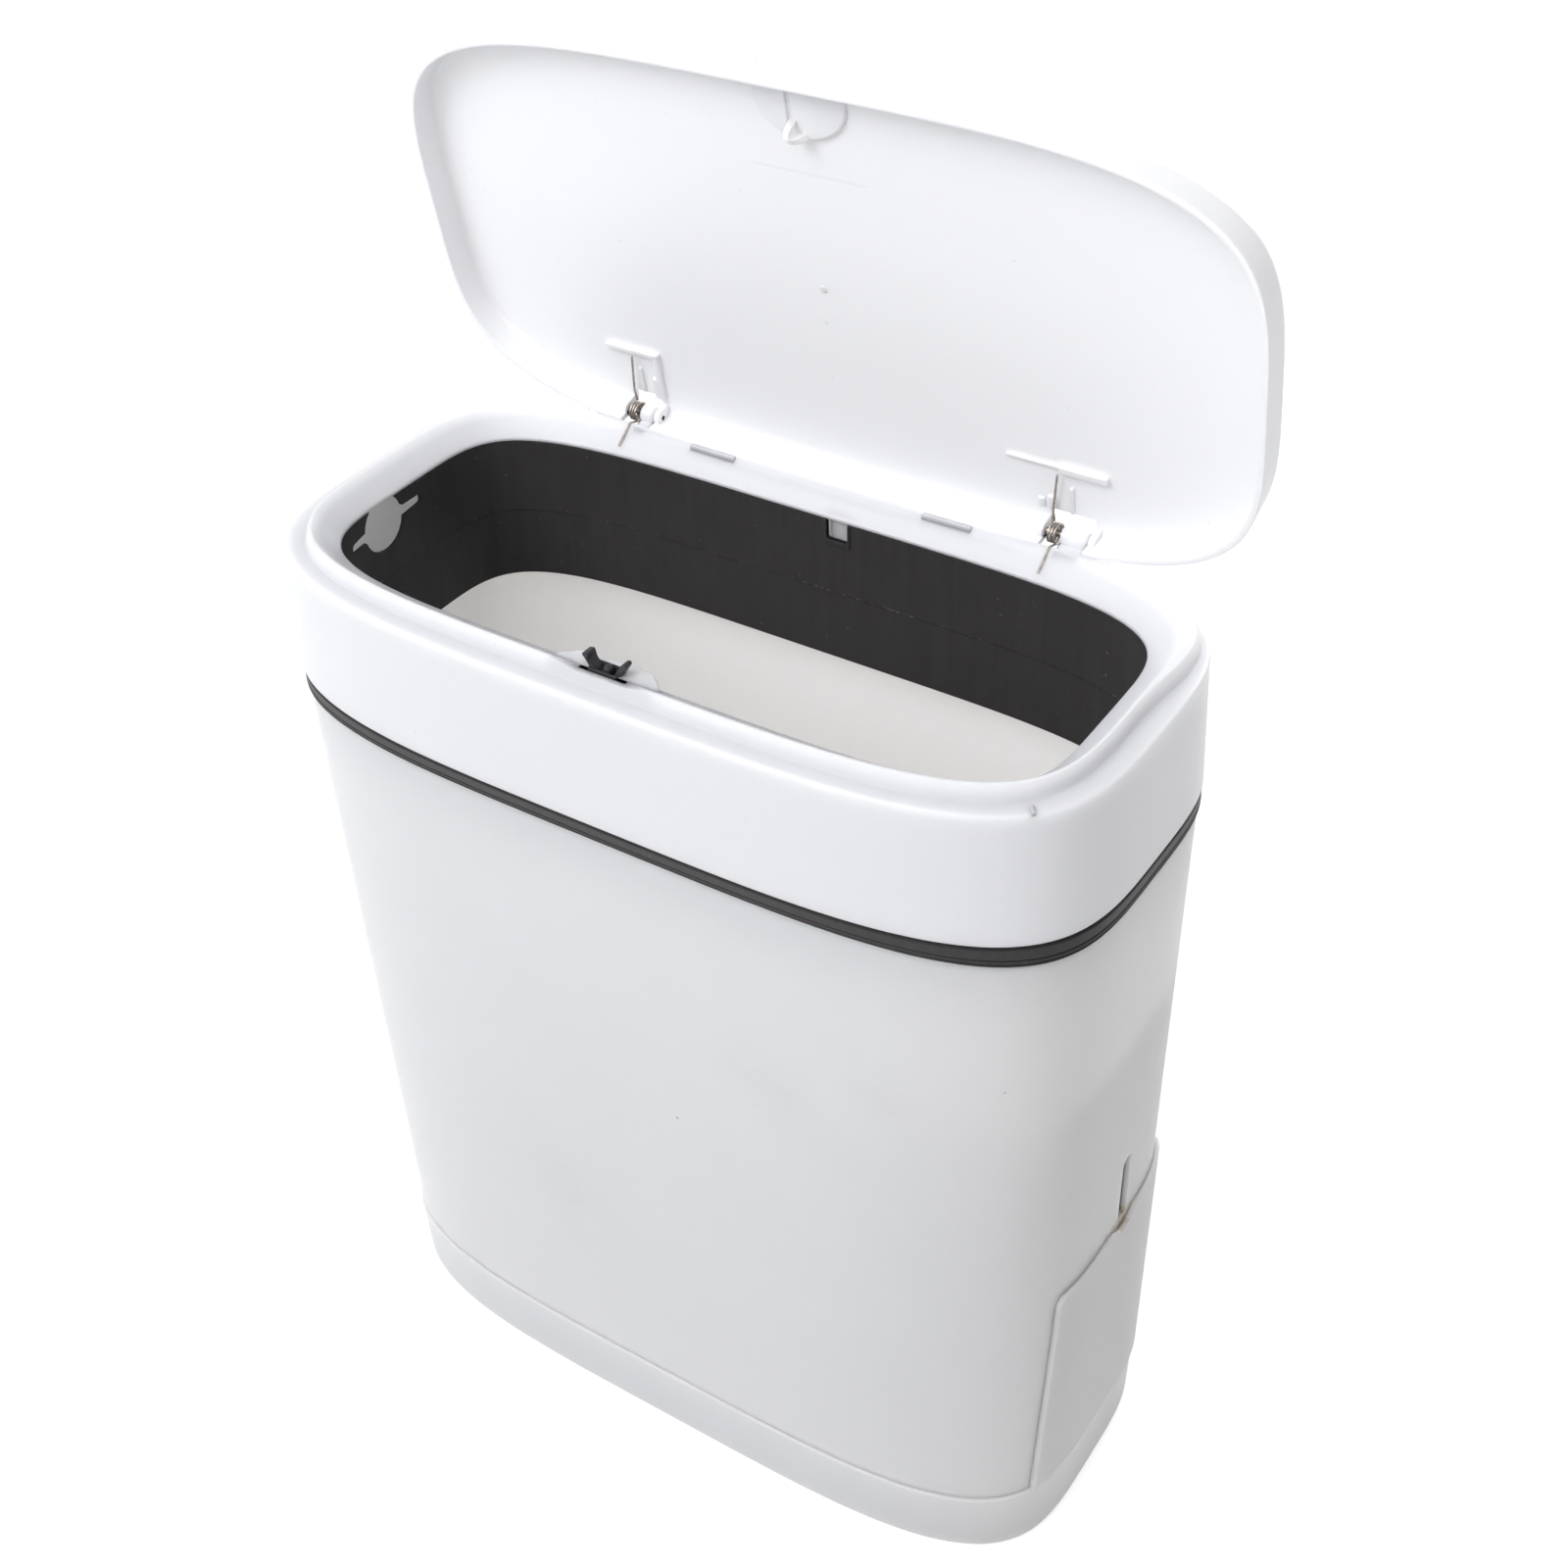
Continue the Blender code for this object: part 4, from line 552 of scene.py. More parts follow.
# Sizes that several pieces share; an outline is half length, half width, power, power at the back
binSize = dict(
    collar=(160.0, 78.7, 3.75, 3.75), bodyTop=(158.7, 75.4, 4.0, 4.0),
    bodyFoot=(155.1, 72.5, 4.0, 4.0), mouth=(138.5, 57.0, 4.84, 4.84), shoulder=31.6, bodyRim=307.5,
    bandFoot=307.8, bandTop=316.5, collarFoot=316.8, ledge=364.5, crest=370.1, mouthEdge=362.2,
    sleeveStep=331.5, around=320, flatIn=60.0)
hinge = dict(y=72.8, z=371.3, open=80.1, pin=1.2, side=0.4, coilHalf=2.9875,
             places=(("left", -87.5, 5.2), ("right", 83.6, 9.2)))     # side, x, length of its knuckle
panel = dict(y=5.6, top=140.5, topHalfWidth=44.8, footHalfWidth=49.7, corner=4.0, offset=0.06,
             thickness=1.8, notchWidth=16.0, notchDepth=3.0, columns=96, rows=40, edgeRound=0.55,
             keyWidth=5.8, keyTop=141.4, keyBack=-2.0)
rays = evenRays(binSize["collar"] + (0.0,), binSize["around"])


def profileRings(corners, radii, hoop, steps=5):
    # corner = outline, how much larger it is, its height, how much further out its back goes
    rows = [grow(row, larger) + (height, *(back or (0.0,))) for row, larger, height, *back in corners]
    return outlineRings(softCorners(rows, radii, steps, hoop), rays)


# Base tray

tray = dict(lip=31.3, wall=2.6, floor=3.0, proud=1.0, underRim=7.0, underDepth=0.8,
            radii=(0, 0.3, 0.3, 3.2, 0.8, 0.4, 1.0, 0), dimple=((153.4, -35.5, 30.4), 1.3),
            dimpleShade=(0.30, 0.25, 0.22))


def makeTray():
    t, foot, flatIn = tray, binSize["bodyFoot"], -binSize["flatIn"]
    out, inside = t["proud"], t["proud"] - t["wall"]
    corners = [(foot, flatIn, t["underDepth"]), (foot, -t["underRim"] - 1, t["underDepth"]),
               (foot, -t["underRim"], 0.0), (foot, 0.0, 0.0), (foot, out, t["lip"]),
               (foot, inside, t["lip"]), (foot, inside, t["floor"]), (foot, flatIn, t["floor"])]
    thing = asMesh("trayPiece", lathe(profileRings(corners, t["radii"], False)))
    finish = bodyPlastic("trayFinish")
    # painted shade: a dark spot on the lip stands in for the shade in a small dimple that the mesh does
    # not have
    finish.paint(finish.near(*t["dimple"], 2.5) * 0.55, t["dimpleShade"])
    finishPiece(thing, finish, "bin", "base_tray")


# Body shell

body = dict(wall=2.2, foot=3.3, floor=5.9, innerShoulder=33.8, socketInset=2.0,
            radii=(0, 1.5, 0.3, 0.4, 0.5, 0.5, 0.8, 0.4, 2.5, 0),
            openingHalf=41.3, openingFoot=35.8, openingTop=137.0, openingCorner=3.0,
            slotWidth=6.4, slotTop=173.5, slotDrop=4.0, cutDepth=40.0)


def makeBody():
    b, top, foot, rim = body, binSize["bodyTop"], binSize["bodyFoot"], binSize["bodyRim"]
    shoulder, wall, socket = binSize["shoulder"], b["wall"], -b["socketInset"]
    flatIn = socket - binSize["flatIn"]
    corners = [(foot, flatIn, b["foot"]), (foot, socket, b["foot"]), (foot, socket, shoulder),
               (foot, 0, shoulder), (top, 0, rim), (top, -wall, rim),
               (foot, -wall, b["innerShoulder"]), (foot, socket - wall, b["innerShoulder"]),
               (foot, socket - wall, b["floor"]), (foot, flatIn, b["floor"])]
    thing = asMesh("bodyPiece", lathe(profileRings(corners, b["radii"], False)))
    y, half, slotHalf = panel["y"], b["openingHalf"], b["slotWidth"] / 2
    near, far = binSize["collar"][0] - b["cutDepth"], binSize["collar"][0] + 4
    opening = rectangle((y - half, b["openingFoot"]), (y + half, b["openingTop"]),
                        b["openingCorner"], 6)
    arch = circleOf((y, b["slotTop"] - slotHalf), slotHalf, 17, 0.0, math.pi)
    low = b["openingTop"] - b["slotDrop"]
    slot = np.vstack([arch, [(y - slotHalf, low), (y + slotHalf, low)]])
    for outline in (opening, slot):
        cut(thing, drawnOut(outline, near, far, axis="X"))
    finish = bodyPlastic("bodyFinish")
    paintGap(finish)
    finishPiece(thing, finish, "bin", "body_shell")


# Bag ring: band with its mould lines, web, sleeve with the tuck hole and window

bagRing = dict(
    bandInset=0.8, bandWall=2.5, bodyGap=0.3, webTop=310.0, sleeveWall=1.5, sleeveReveal=0.2,
    sleeveFoot=303.5, sleeveTop=360.7, stepDepth=0.35, stepRise=0.3,
    spigotFoot=303.8, spigotWall=1.6, spigotInset=2.6,
    # share of the way up the band, how far out
    bandProfile=((0.0, 0.0), (0.10, 0.5), (0.15, -0.25), (0.20, 0.5), (0.29, 0.5), (0.33, -0.15),
                 (0.38, 0.45), (0.82, 0.55), (0.86, -0.35), (1.0, 0.0)),
    radii=(0.35, 0.2, 0.15, 0.2, 0.2, 0.15, 0.3, 0.3, 0.15, 0.4, 0.4, 0.6, 0.6, 0.3, 0.35, 0.12, 0.12,
           0.3, 0.3, 0.4, 0.4, 0.3, 0.3, 0.3),
    tuckRadius=10.5, tuckY=-13.0, tuckZ=352.4, slitReach=19.3, slitHalf=2.9, slitTip=1.8, slitTilt=2.8,
    slitShift=(0.75, 0.0), slitRadii=(1.6, 6.0, 1.6, 1.6, 6.0, 1.6), windowX=7.9, windowWidth=8.6,
    windowFoot=353.1, windowTop=362.6, windowCorner=0.9, frame=1.8, frameRight=0.9, frameDrop=0.3,
    frameRise=0.5, frameSunk=0.8, frameCorner=0.8)


def makeBagRing():
    r, top, mouth = bagRing, binSize["bodyTop"], binSize["mouth"]
    low, high = grow(top, r["bodyGap"]), grow(binSize["collar"], -r["bandInset"])
    foot, rim, step = binSize["bandFoot"], binSize["bandTop"], binSize["sleeveStep"]
    inner, spigot = r["sleeveReveal"], -r["spigotInset"]
    outer, deeper, spigotIn = inner + r["sleeveWall"], inner + r["stepDepth"], spigot - r["spigotWall"]
    corners = [(tuple(a + (b - a) * share for a, b in zip(low, high)), out,
                foot + (rim - foot) * share) for share, out in r["bandProfile"]]
    corners += [
        (high, -r["bandWall"], rim), (high, -r["bandWall"], r["webTop"]), (mouth, outer, r["webTop"]),
        (mouth, outer, r["sleeveTop"]), (mouth, inner, r["sleeveTop"]), (mouth, inner, step),
        (mouth, deeper, step - r["stepRise"]), (mouth, deeper, r["sleeveFoot"]),
        (mouth, outer, r["sleeveFoot"]), (mouth, outer, foot), (top, spigotIn, foot),
        (top, spigotIn, r["spigotFoot"]), (top, spigot, r["spigotFoot"]), (top, spigot, foot)]
    rings = profileRings(corners, r["radii"], True, steps=3)
    thing = asMesh("bagRingPiece", lathe(rings, hoop=True))
    end, centre = -(mouth[0] + outer), (r["tuckY"], r["tuckZ"])
    cut(thing, drawnOut(circleOf(centre, r["tuckRadius"], 72), end - 4, end + 5, axis="X"))
    reach, half, tip = r["slitReach"], r["slitHalf"], r["slitTip"]
    slit = [(-reach, tip), (0, half), (reach, tip), (reach, -tip), (0, -half), (-reach, -tip)]
    slit = softCorners(slit, r["slitRadii"], 5, support=0) + r["slitShift"]
    cut(thing, drawnOut(turned(slit, r["slitTilt"]) + centre, end - 4, end + 9, axis="X"))
    left, right = (r["windowX"] + side * r["windowWidth"] / 2 for side in (-1, 1))
    window = rectangle((left, r["windowFoot"]), (right, r["windowTop"]), r["windowCorner"], 5)
    frameOutline = rectangle((left - r["frame"], r["windowFoot"] - r["frame"] - r["frameDrop"]),
                             (right + r["frameRight"], r["sleeveTop"] - 0.1), r["frameCorner"], 5)
    back = mouth[1] + inner
    bezel = asMesh("windowFrame", drawnOut(frameOutline, back - r["frameRise"], back + r["frameSunk"],
                                           (0.3, 0.0), "Y"))
    for part in (thing, bezel):
        cut(part, drawnOut(window, mouth[1] + outer - 6, mouth[1] + outer + 4, axis="Y"))
    joinThings(thing, bezel)
    finish = blackPlastic("bagRingFinish", (0.029, 0.027, 0.028), 0.46, 0.75)
    finishPiece(thing, finish, "bag_ring", "bag_ring", sharp=28.0)


# Collar: rim, crest and funnel, hinge seat, latch boss

collar = dict(
    draft=1.8, wall=2.4, crestInset=(11.7, 10.1), crestPower=4.13, crestBack=5.0, flank=1.6,
    crestFlat=1.0, land=1.2, lip=3.5, shell=1.0, funnelWall=2.8,
    radii=(0.5, 2.6, 0.7, 0.5, 0.35, 1.2, 0.35, 0.4, 0.6, 0.4, 1.2, 0.5),
    reliefHalf=106.0, reliefFront=66.0, reliefFloor=363.2, reliefCorner=1.5,
    fillerHalf=92.0, fillerDepth=2.2, knuckleRadius=3.6, knucklePost=5.2, lean=25.0, knuckleRound=1.5,
    padLength=19.0, padWidth=2.0, padRise=1.0, padXs=(-49.0, 46.8), nub=(142.3, -54.0), nubTurn=-52.0,
    nubHalf=(1.9, 0.7), nubRise=0.8, snap=((3.9, 59.3, 350.6), (12.8, 60.6, 362.4)))
boss = dict(
    top=368.5, halfLength=12.7, footHalf=20.0, edgeY=-57.4, footY=-63.4, outerY=-67.9, thickness=7.3,
    edgeRound=0.9, radii=(1.6, 1.6, 3.0, 2.2, 2.2, 3.0), dip=(9.0, 22.0, 2.1), dipFront=-73.0,
    wellHalf=(5.8, 3.2), wellFloor=349.7, blockHalf=7.3, blockFoot=348.1, blockBack=-58.7,
    blockDrop=2.5)
crestRow = (*(binSize["collar"][i] - collar["crestInset"][i] for i in (0, 1)),
            collar["crestPower"], collar["crestPower"])


def sideY(row, x):
    # how far back a long side lies: half width * (1 - |x / half length|^power)^(1 / power)
    return row[1] * (1 - abs(x / row[0]) ** row[2]) ** (1 / row[2])


def deckHeight(x, y):
    # a straight line from the mouth's edge up to the crest
    low, high = sideY(binSize["mouth"], x), sideY(crestRow, x)
    return binSize["mouthEdge"] + (binSize["crest"] - binSize["mouthEdge"]) * (y - low) / (high - low)


def makeCollar():
    c, foot, mouth = collar, binSize["collar"], binSize["mouth"]
    low, ledge, top, edge = (binSize[key] for key in ("collarFoot", "ledge", "crest", "mouthEdge"))
    draft, wall = c["draft"], c["wall"]
    corners = [
        (foot, 0, low), (foot, -draft, ledge),
        (crestRow, c["flank"], ledge + 0.05, c["crestBack"] + 0.1),
        (crestRow, 0, top, c["crestBack"]), (crestRow, -c["crestFlat"], top - 0.02),
        (mouth, 0, edge), (mouth, 0, edge - c["land"]), (mouth, c["lip"], edge - c["land"]),
        (crestRow, -c["shell"], top - c["shell"] - c["funnelWall"]),
        (crestRow, -c["shell"], ledge - wall), (foot, -draft - wall, ledge - wall), (foot, -wall, low)]
    thing = asMesh("collarPiece", lathe(profileRings(corners, c["radii"], True), hoop=True))
    front, floor, half = c["reliefFront"], c["reliefFloor"], c["reliefHalf"]
    cut(thing, roundedBlock((-half, front, floor), (half, foot[1] + 8, top + 9), c["reliefCorner"],
                            rounding=(0.0, 0.0)))
    addBoss(thing)
    half, start = c["fillerHalf"], front - c["fillerDepth"]
    corner = (-half, start, floor - c["fillerDepth"])
    addShells(thing, roundedBlock(corner, (half, crestRow[1] - 0.4, floor - 0.02), 0.2),
              roundedBlock(corner, (half, front - 0.02, deckHeight(0, start) - 1.5), 0.2),
              roundedBlock(*c["snap"], 0.3), *seatShells())
    finish = whitePlastic("collarFinish", (0.862, 0.864, 0.895), 0.34)
    finishPiece(thing, finish, "collar", "collar")


def addBoss(thing):
    # a tab on the deck over a block that holds the latch's well, each with the well cut out of it;
    # the crest dips gently to the tab's level
    b, x, y = boss, latch["x"], latch["y"]
    top, foot, end = b["top"], b["footHalf"], b["halfLength"]
    tab = softCorners([(-foot, b["outerY"]), (foot, b["outerY"]), (foot, b["footY"]),
                       (end, b["edgeY"]), (-end, b["edgeY"]), (-foot, b["footY"])],
                      b["radii"], 5, support=0)
    narrow, broad, rise = b["dip"]
    dip = [(-broad, top + rise), (-narrow, top), (narrow, top), (broad, top + rise), (broad, top + 10),
           (-broad, top + 10)]
    wide, deep = b["wellHalf"]
    well = roundedBlock((x - wide, y - deep, b["wellFloor"]), (x + wide, y + deep, top + 6), 0.2)
    block = roundedBlock((-b["blockHalf"], b["outerY"] + 0.4, b["blockFoot"]),
                         (b["blockHalf"], b["blockBack"], top - b["blockDrop"]), 0.5)
    parts = [asMesh("tab", drawnOut(tab, top - b["thickness"], top, (0.3, b["edgeRound"]))),
             asMesh("block", block)]
    cut(thing, drawnOut(dip, b["dipFront"], b["edgeY"] + 6, axis="Y"))
    for part in [thing] + parts:
        cut(part, well)
    joinThings(thing, *parts)


def seatShells():
    # barrels round the pins that lean forward and run down into the deck, two pads and a nub
    c, shells = collar, []
    y, deckY = hinge["y"], c["reliefFront"] - 1.4
    low = c["reliefFloor"] - 1.1
    reach = math.asin(c["knucklePost"] / 2 / c["knuckleRadius"])
    barrel = circleOf((y, hinge["z"]), c["knuckleRadius"], 25, -math.pi / 2 + reach,
                      math.pi * 1.5 - reach + math.radians(c["lean"]))
    for _, x, length in hinge["places"]:
        start = x + hinge["coilHalf"] + hinge["side"]
        tail = [(deckY, deckHeight(start, deckY) - 0.1), (deckY, low), (y + c["knucklePost"] / 2, low)]
        outline = np.vstack([barrel, tail])
        shells.append(drawnOut(outline, start, start + length, (0.35, c["knuckleRound"]), "X", 6))
    for x in c["padXs"]:
        top, half = deckHeight(x, c["reliefFront"]) + c["padRise"], c["padLength"] / 2
        shells.append(roundedBlock((x - half, c["reliefFront"] - c["padWidth"], top - 3),
                                   (x + half, c["reliefFront"] - 0.3, top), 0.35))
    long, wide = c["nubHalf"]
    points, *faces = roundedBlock((-long, -wide, -1.0), (long, wide, c["nubRise"]), 0.5)
    return shells + [(turned(points, c["nubTurn"]) + (*c["nub"], binSize["ledge"]), *faces)]


# Lid, drawn shut and swung open at the end

lid = dict(
    power=4.10, backPower=3.43, lipBackPower=3.94, overhang=0.2, seat=364.8, flare=1.1, sideTop=372.8,
    round=4.5, roundHeight=4.85, sideShares=(0.8, 0.5, 0.25, 0.12), ceiling=375.6, innerRound=2.5,
    dome=1.2, flatInset=52.0, lip=2.0, notchFront=6.2, notchCorner=0.9, lugWidth=2.4, lugHalf=3.4,
    lugDrop=3.0, padHalf=16.8, padReach=12.4, padY=-66.0, padDrop=1.4, padRound=0.9, padFloor=1.1,
    slitX=-4.0, slitWidth=1.5, slitLength=7.7, gate=(-1.0, 2.3), gateRadius=1.3, gateDrop=0.45)


def lidRow(growth, height, back):
    outline = grow(binSize["collar"], lid["overhang"] - collar["draft"] + growth)
    return (outline[0], outline[1], lid["power"], back, height)


def domeRows(height, start, back):
    # height + dome * smooth(s), s going from 0 at the rim's inset to 1 at the flat middle
    return [lidRow(-start - (lid["flatInset"] - start) * s, height + lid["dome"] * smooth(s), back)
            for s in np.linspace(0, 1, 14)]


def hingeSpan(x, length):
    # from the left side of the coil's gap to the right side of the knuckle's
    return x - hinge["coilHalf"] - hinge["side"], x + hinge["coilHalf"] + 2 * hinge["side"] + length


def makeLid():
    # from the dome's middle over the rounded edge, down the flared side, round the lip and back inside
    d = lid
    seat, side, inner, ceiling = d["seat"], d["sideTop"], d["innerRound"], d["ceiling"]
    top, back, lipBack = side + d["roundHeight"], d["backPower"], d["lipBackPower"]
    lip = ((0.1, 0.6), (-0.15, 0.15), (-0.6, 0), (0.5 - d["lip"], 0), (0.1 - d["lip"], 0.15),
           (-d["lip"], 0.6), (-d["lip"], 3.0))
    rows = domeRows(top, d["round"] - d["flare"], back)[:0:-1]
    rows += [lidRow(d["flare"] - d["round"] * (1 - math.cos(t)),
                    side + d["roundHeight"] * math.sin(t), back)
             for t in np.linspace(np.pi / 2, 0, 12)]
    rows += [lidRow(d["flare"] * s, seat + (side - seat) * s, lipBack + (back - lipBack) * s)
             for s in d["sideShares"]]
    rows += [lidRow(growth, seat + up, lipBack) for growth, up in lip]
    rows += [lidRow(-d["lip"] - inner * (1 - math.cos(t)),
                    ceiling - inner * (1 - math.sin(t)), lipBack)
             for t in np.linspace(0, np.pi / 2, 9)]
    rows += domeRows(ceiling, d["lip"] + inner, lipBack)[1:]
    thing = asMesh("lidPiece", lathe(outlineRings(rows, rays)))
    lugs = []
    for _, x, length in hinge["places"]:
        left, right = hingeSpan(x, length)
        cut(thing, roundedBlock((left, hinge["y"] - d["notchFront"], seat - 4), (right, 90, top + 6),
                                d["notchCorner"], rounding=(0.0, 0.0)))
        lugs += [lugShell(start) for start in (left - d["lugWidth"], right)]
    addShells(thing, *lugs, *ribShells(), *padShells())
    swingOpen(thing)
    finishPiece(thing, lidPlastic(), "lid", "lid_shell")


def lugShell(start):
    # ear round the pin: a round nose below, straight sides up into the lid
    y, half, top = hinge["y"], lid["lugHalf"], lid["ceiling"] + 1
    nose = circleOf((y, hinge["z"]), lid["lugDrop"], 21, math.pi, math.pi)
    outline = np.vstack([nose, [(y + half, top), (y - half, top)]])
    return drawnOut(outline, start, start + lid["lugWidth"], (0.5, 0.5), "X")


ribs = dict(    # low and high corner in plan, how far each stands below the ceiling, edge radius
    leftBar=((-99.0, 47.5), (-76.0, 49.8), 1.6, 0.6),
    leftRib=((-78.4, 49.0), (-76.0, 67.6), 1.7, 0.7),
    leftGusset=((-80.6, 58.5), (-78.0, 67.6), 1.3, 0.7),
    leftSmall=((-86.6, 55.7), (-85.0, 66.4), 0.9, 0.5),
    rightBarThin=((64.4, 47.9), (86.0, 49.1), 0.8, 0.4),
    rightBar=((84.0, 47.0), (101.7, 50.2), 1.7, 0.8),
    rightSmall=((87.5, 55.7), (88.9, 66.4), 0.9, 0.5),
    rightSeat=((79.2, 61.0), (82.2, 66.4), 1.1, 0.7),
    rightStop=((75.6, 62.6), (78.2, 66.4), 1.0, 0.7))


def ribShells():
    # the ribs, and the round mark of the mould's gate
    ceiling = lid["ceiling"]
    shells = [roundedBlock((*low, ceiling - drop), (*high, ceiling + 1.0), edge, rounding=(edge, 0.2))
              for low, high, drop, edge in ribs.values()]
    gate, middle = circleOf(lid["gate"], lid["gateRadius"], 20), ceiling + lid["dome"]
    return shells + [drawnOut(gate, middle - lid["gateDrop"], middle + 0.6, (0.25, 0.1))]


def padShells():
    # half-moon pad with a soft rim, parted by a slit into a small and a large piece over a thin floor
    d, half, middle = lid, lid["padHalf"], lid["padY"]
    turn = np.linspace(math.pi, 0, 49)
    curve = np.stack([half * np.cos(turn), middle + d["padReach"] * np.sin(turn)], axis=1)
    wall = -(binSize["collar"][1] - collar["draft"] - 1.0)
    low, top, end = d["ceiling"] - d["padDrop"], d["ceiling"] + 1.2, middle + d["slitLength"]
    left, right = d["slitX"] - d["slitWidth"] / 2, d["slitX"] + d["slitWidth"] / 2
    first, second = curve[curve[:, 0] < left - 0.5], curve[curve[:, 0] > right + 0.5]
    small = np.vstack([first, [(left, first[-1, 1] + 0.4), (left, wall), (-half, wall)]])
    large = np.vstack([second, [(half, wall), (right, wall), (right, second[0, 1] + 0.2)]])
    bridge = rectangle((left - 1.5, end), (right + 1.5, middle + d["padReach"] - 0.9), 0.4)
    floor = rectangle((left - 1.0, wall), (right + 1.0, end + 1.0), 0.2)
    shells = [drawnOut(part, low, top, (d["padRound"], 0.1), steps=6) for part in (small, large)]
    return shells + [drawnOut(bridge, low + 0.15, top, (0.8, 0.1), steps=5),
                     drawnOut(floor, low + d["padFloor"], top, (0.1, 0.1))]


def opened(*point):
    # where a point of the shut lid stands when it is open
    pin = (0, hinge["y"], hinge["z"])
    place = turned(np.subtract(point, pin), -hinge["open"], (1, 2)) + pin
    return place.tolist()


lidMarks = dict(spot=((71.2, 72.5, 377.0), 1.4, (0.5, 0.5, 0.48)), gateZ=376.8, gateReach=3.0,
                gateColour=(0.62, 0.61, 0.60), line=((-20.6, 18.7), (0, -40.2, 376.0), 0.15),
                lineColour=(0.55, 0.55, 0.58))


def lidPlastic():
    # white with the lid's own dot, mould shadow and faint line
    finish = whitePlastic("lidFinish", (0.91, 0.91, 0.93), 0.36, through=0.15)
    marks, (place, radius, colour) = lidMarks, lidMarks["spot"]
    finish.paint(finish.near(opened(*place), radius, 2.0) * 0.4, colour)
    gate = opened(*lid["gate"], marks["gateZ"])
    finish.paint(finish.near(gate, marks["gateReach"]) * 0.18, marks["gateColour"])
    (left, right), middle, half = marks["line"]
    z = opened(*middle)[2]
    faint = finish.between(finish.x, left, right, 3.0)
    faint = faint * finish.between(finish.z, z - half, z + half, 0.5)
    finish.paint(faint * 0.16, marks["lineColour"])
    return finish


# Striker: a curled tongue that hangs from the pad, thick at its root and thin at its tip

striker = dict(middle=(1.3, -58.4), radius=5.1, start=150.0, stop=292.0, low=368.2, high=375.0,
               thickness=2.3, taper=0.16, flat=0.95, bevel=0.4)


def makeStriker():
    # at turn a and share v of the way down: radius (1 - taper v^2), and
    # high - (high - low) v sin(bulge)^0.7, bulge going from 0.12 pi to 0.92 pi round the sweep
    s = striker
    a = np.radians(np.linspace(s["start"], s["stop"], 40))[None, :]
    v = np.linspace(0, 1, 14)[:, None]
    bulge = np.sin(np.linspace(0.12, 0.92, 40) * np.pi)[None, :] ** 0.7
    z = s["high"] - (s["high"] - s["low"]) * v * bulge
    x, y = s["middle"]
    sides = []
    for reach in (s["radius"], s["radius"] - s["thickness"]):
        r = reach * (1 - s["taper"] * v * v) + 0 * a
        sides.append(np.stack([x + r * np.cos(a), y - r * np.sin(a) * s["flat"], z], axis=2))
    thing = asMesh("strikerPiece", sheetShell(*sides))
    swingOpen(thing)
    bevel = thing.modifiers.new("soften", "BEVEL")
    bevel.width, bevel.segments = s["bevel"] * mm, 3
    bevel.limit_method, bevel.angle_limit = "ANGLE", math.radians(40)
    finish = whitePlastic("strikerFinish", (0.88, 0.87, 0.87), 0.36, through=0.15)
    finishPiece(thing, finish, "lid", "lid_striker")


# Hinge pins and torsion springs

spring = dict(wire=0.43, coil=3.3, pitch=1.0, turns=3, clear=0.5, lowerEnd=2.3, upperLeg=21.5,
              lean=2.1, bend=0.5, sides=14, spacing=0.16, coilPoints=260)


def makePin(side, x, length):
    (left, right), beyond = hingeSpan(x, length), lid["lugWidth"]
    outline = circleOf((hinge["y"], hinge["z"]), hinge["pin"], 32)
    shell = drawnOut(outline, left - beyond, right + beyond, (0.3, 0.3), "X")
    thing = asMesh(side + "PinPiece", shell)
    finishPiece(thing, wireFinish, "lid", "hinge_pin_" + side)


def springPath(x):
    # lower leg over the deck's edge, a helix of three turns and a part round the pin, upper leg under
    # the lid; a leg touches the coil at atan2(y, x) +- acos(coil / distance)
    s, y, z = spring, hinge["y"], hinge["z"]
    half = (s["pitch"] * (s["turns"] + 0.5) + 2 * s["wire"]) / 2 - s["wire"]
    lift = s["wire"] + s["clear"]
    edgeY, endY = collar["reliefFront"], sideY(binSize["mouth"], x + half) + s["lowerEnd"]
    edgeZ, endZ = deckHeight(x + half, edgeY), deckHeight(x + half, endY)
    slope = math.atan2(edgeZ - endZ, edgeY - endY)
    raised = np.array((-math.sin(slope), math.cos(slope))) * lift
    corner, tip = np.array((edgeY - y, edgeZ - z)) + raised, np.array((endY - y, endZ - z)) + raised

    def touch(point, side):
        return math.atan2(point[1], point[0]) + side * math.acos(s["coil"] / math.hypot(*point))

    under = lid["ceiling"] - z - 2 * lift
    upper = np.array((-lid["notchFront"] - lift, under))
    upperTip = np.array((upper[0] - (s["upperLeg"] - lid["notchFront"]), under))
    first, swing = touch(corner, 1), math.radians(hinge["open"])
    last = touch(upper, -1) - swing
    last += 2 * math.pi * math.ceil((first + 2 * math.pi * s["turns"] - last) / (2 * math.pi))
    turn, share = (np.linspace(*ends, s["coilPoints"]) for ends in ((first, last), (0, 1)))
    helix = [half - 2 * half * share, s["coil"] * np.cos(turn), s["coil"] * np.sin(turn)]
    upper, upperTip = (turned(point, -hinge["open"]) for point in (upper, upperTip))
    path = np.vstack([[(half, *tip), (half, *corner)], np.stack(helix, axis=1),
                      [(-half, *upper), (-half + s["lean"], *upperTip)]])
    return path + (x, y, z)


def makeSpring(side, x):
    path = smoothPath(springPath(x), spring["spacing"], spring["bend"])
    thing = asMesh(side + "SpringPiece", tube(path, spring["wire"], spring["sides"]))
    thing.data.materials.append(wireFinish.material)
    thing.data.shade_smooth()
    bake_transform(thing)
    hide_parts("hinge_spring_" + side)


# Push latch

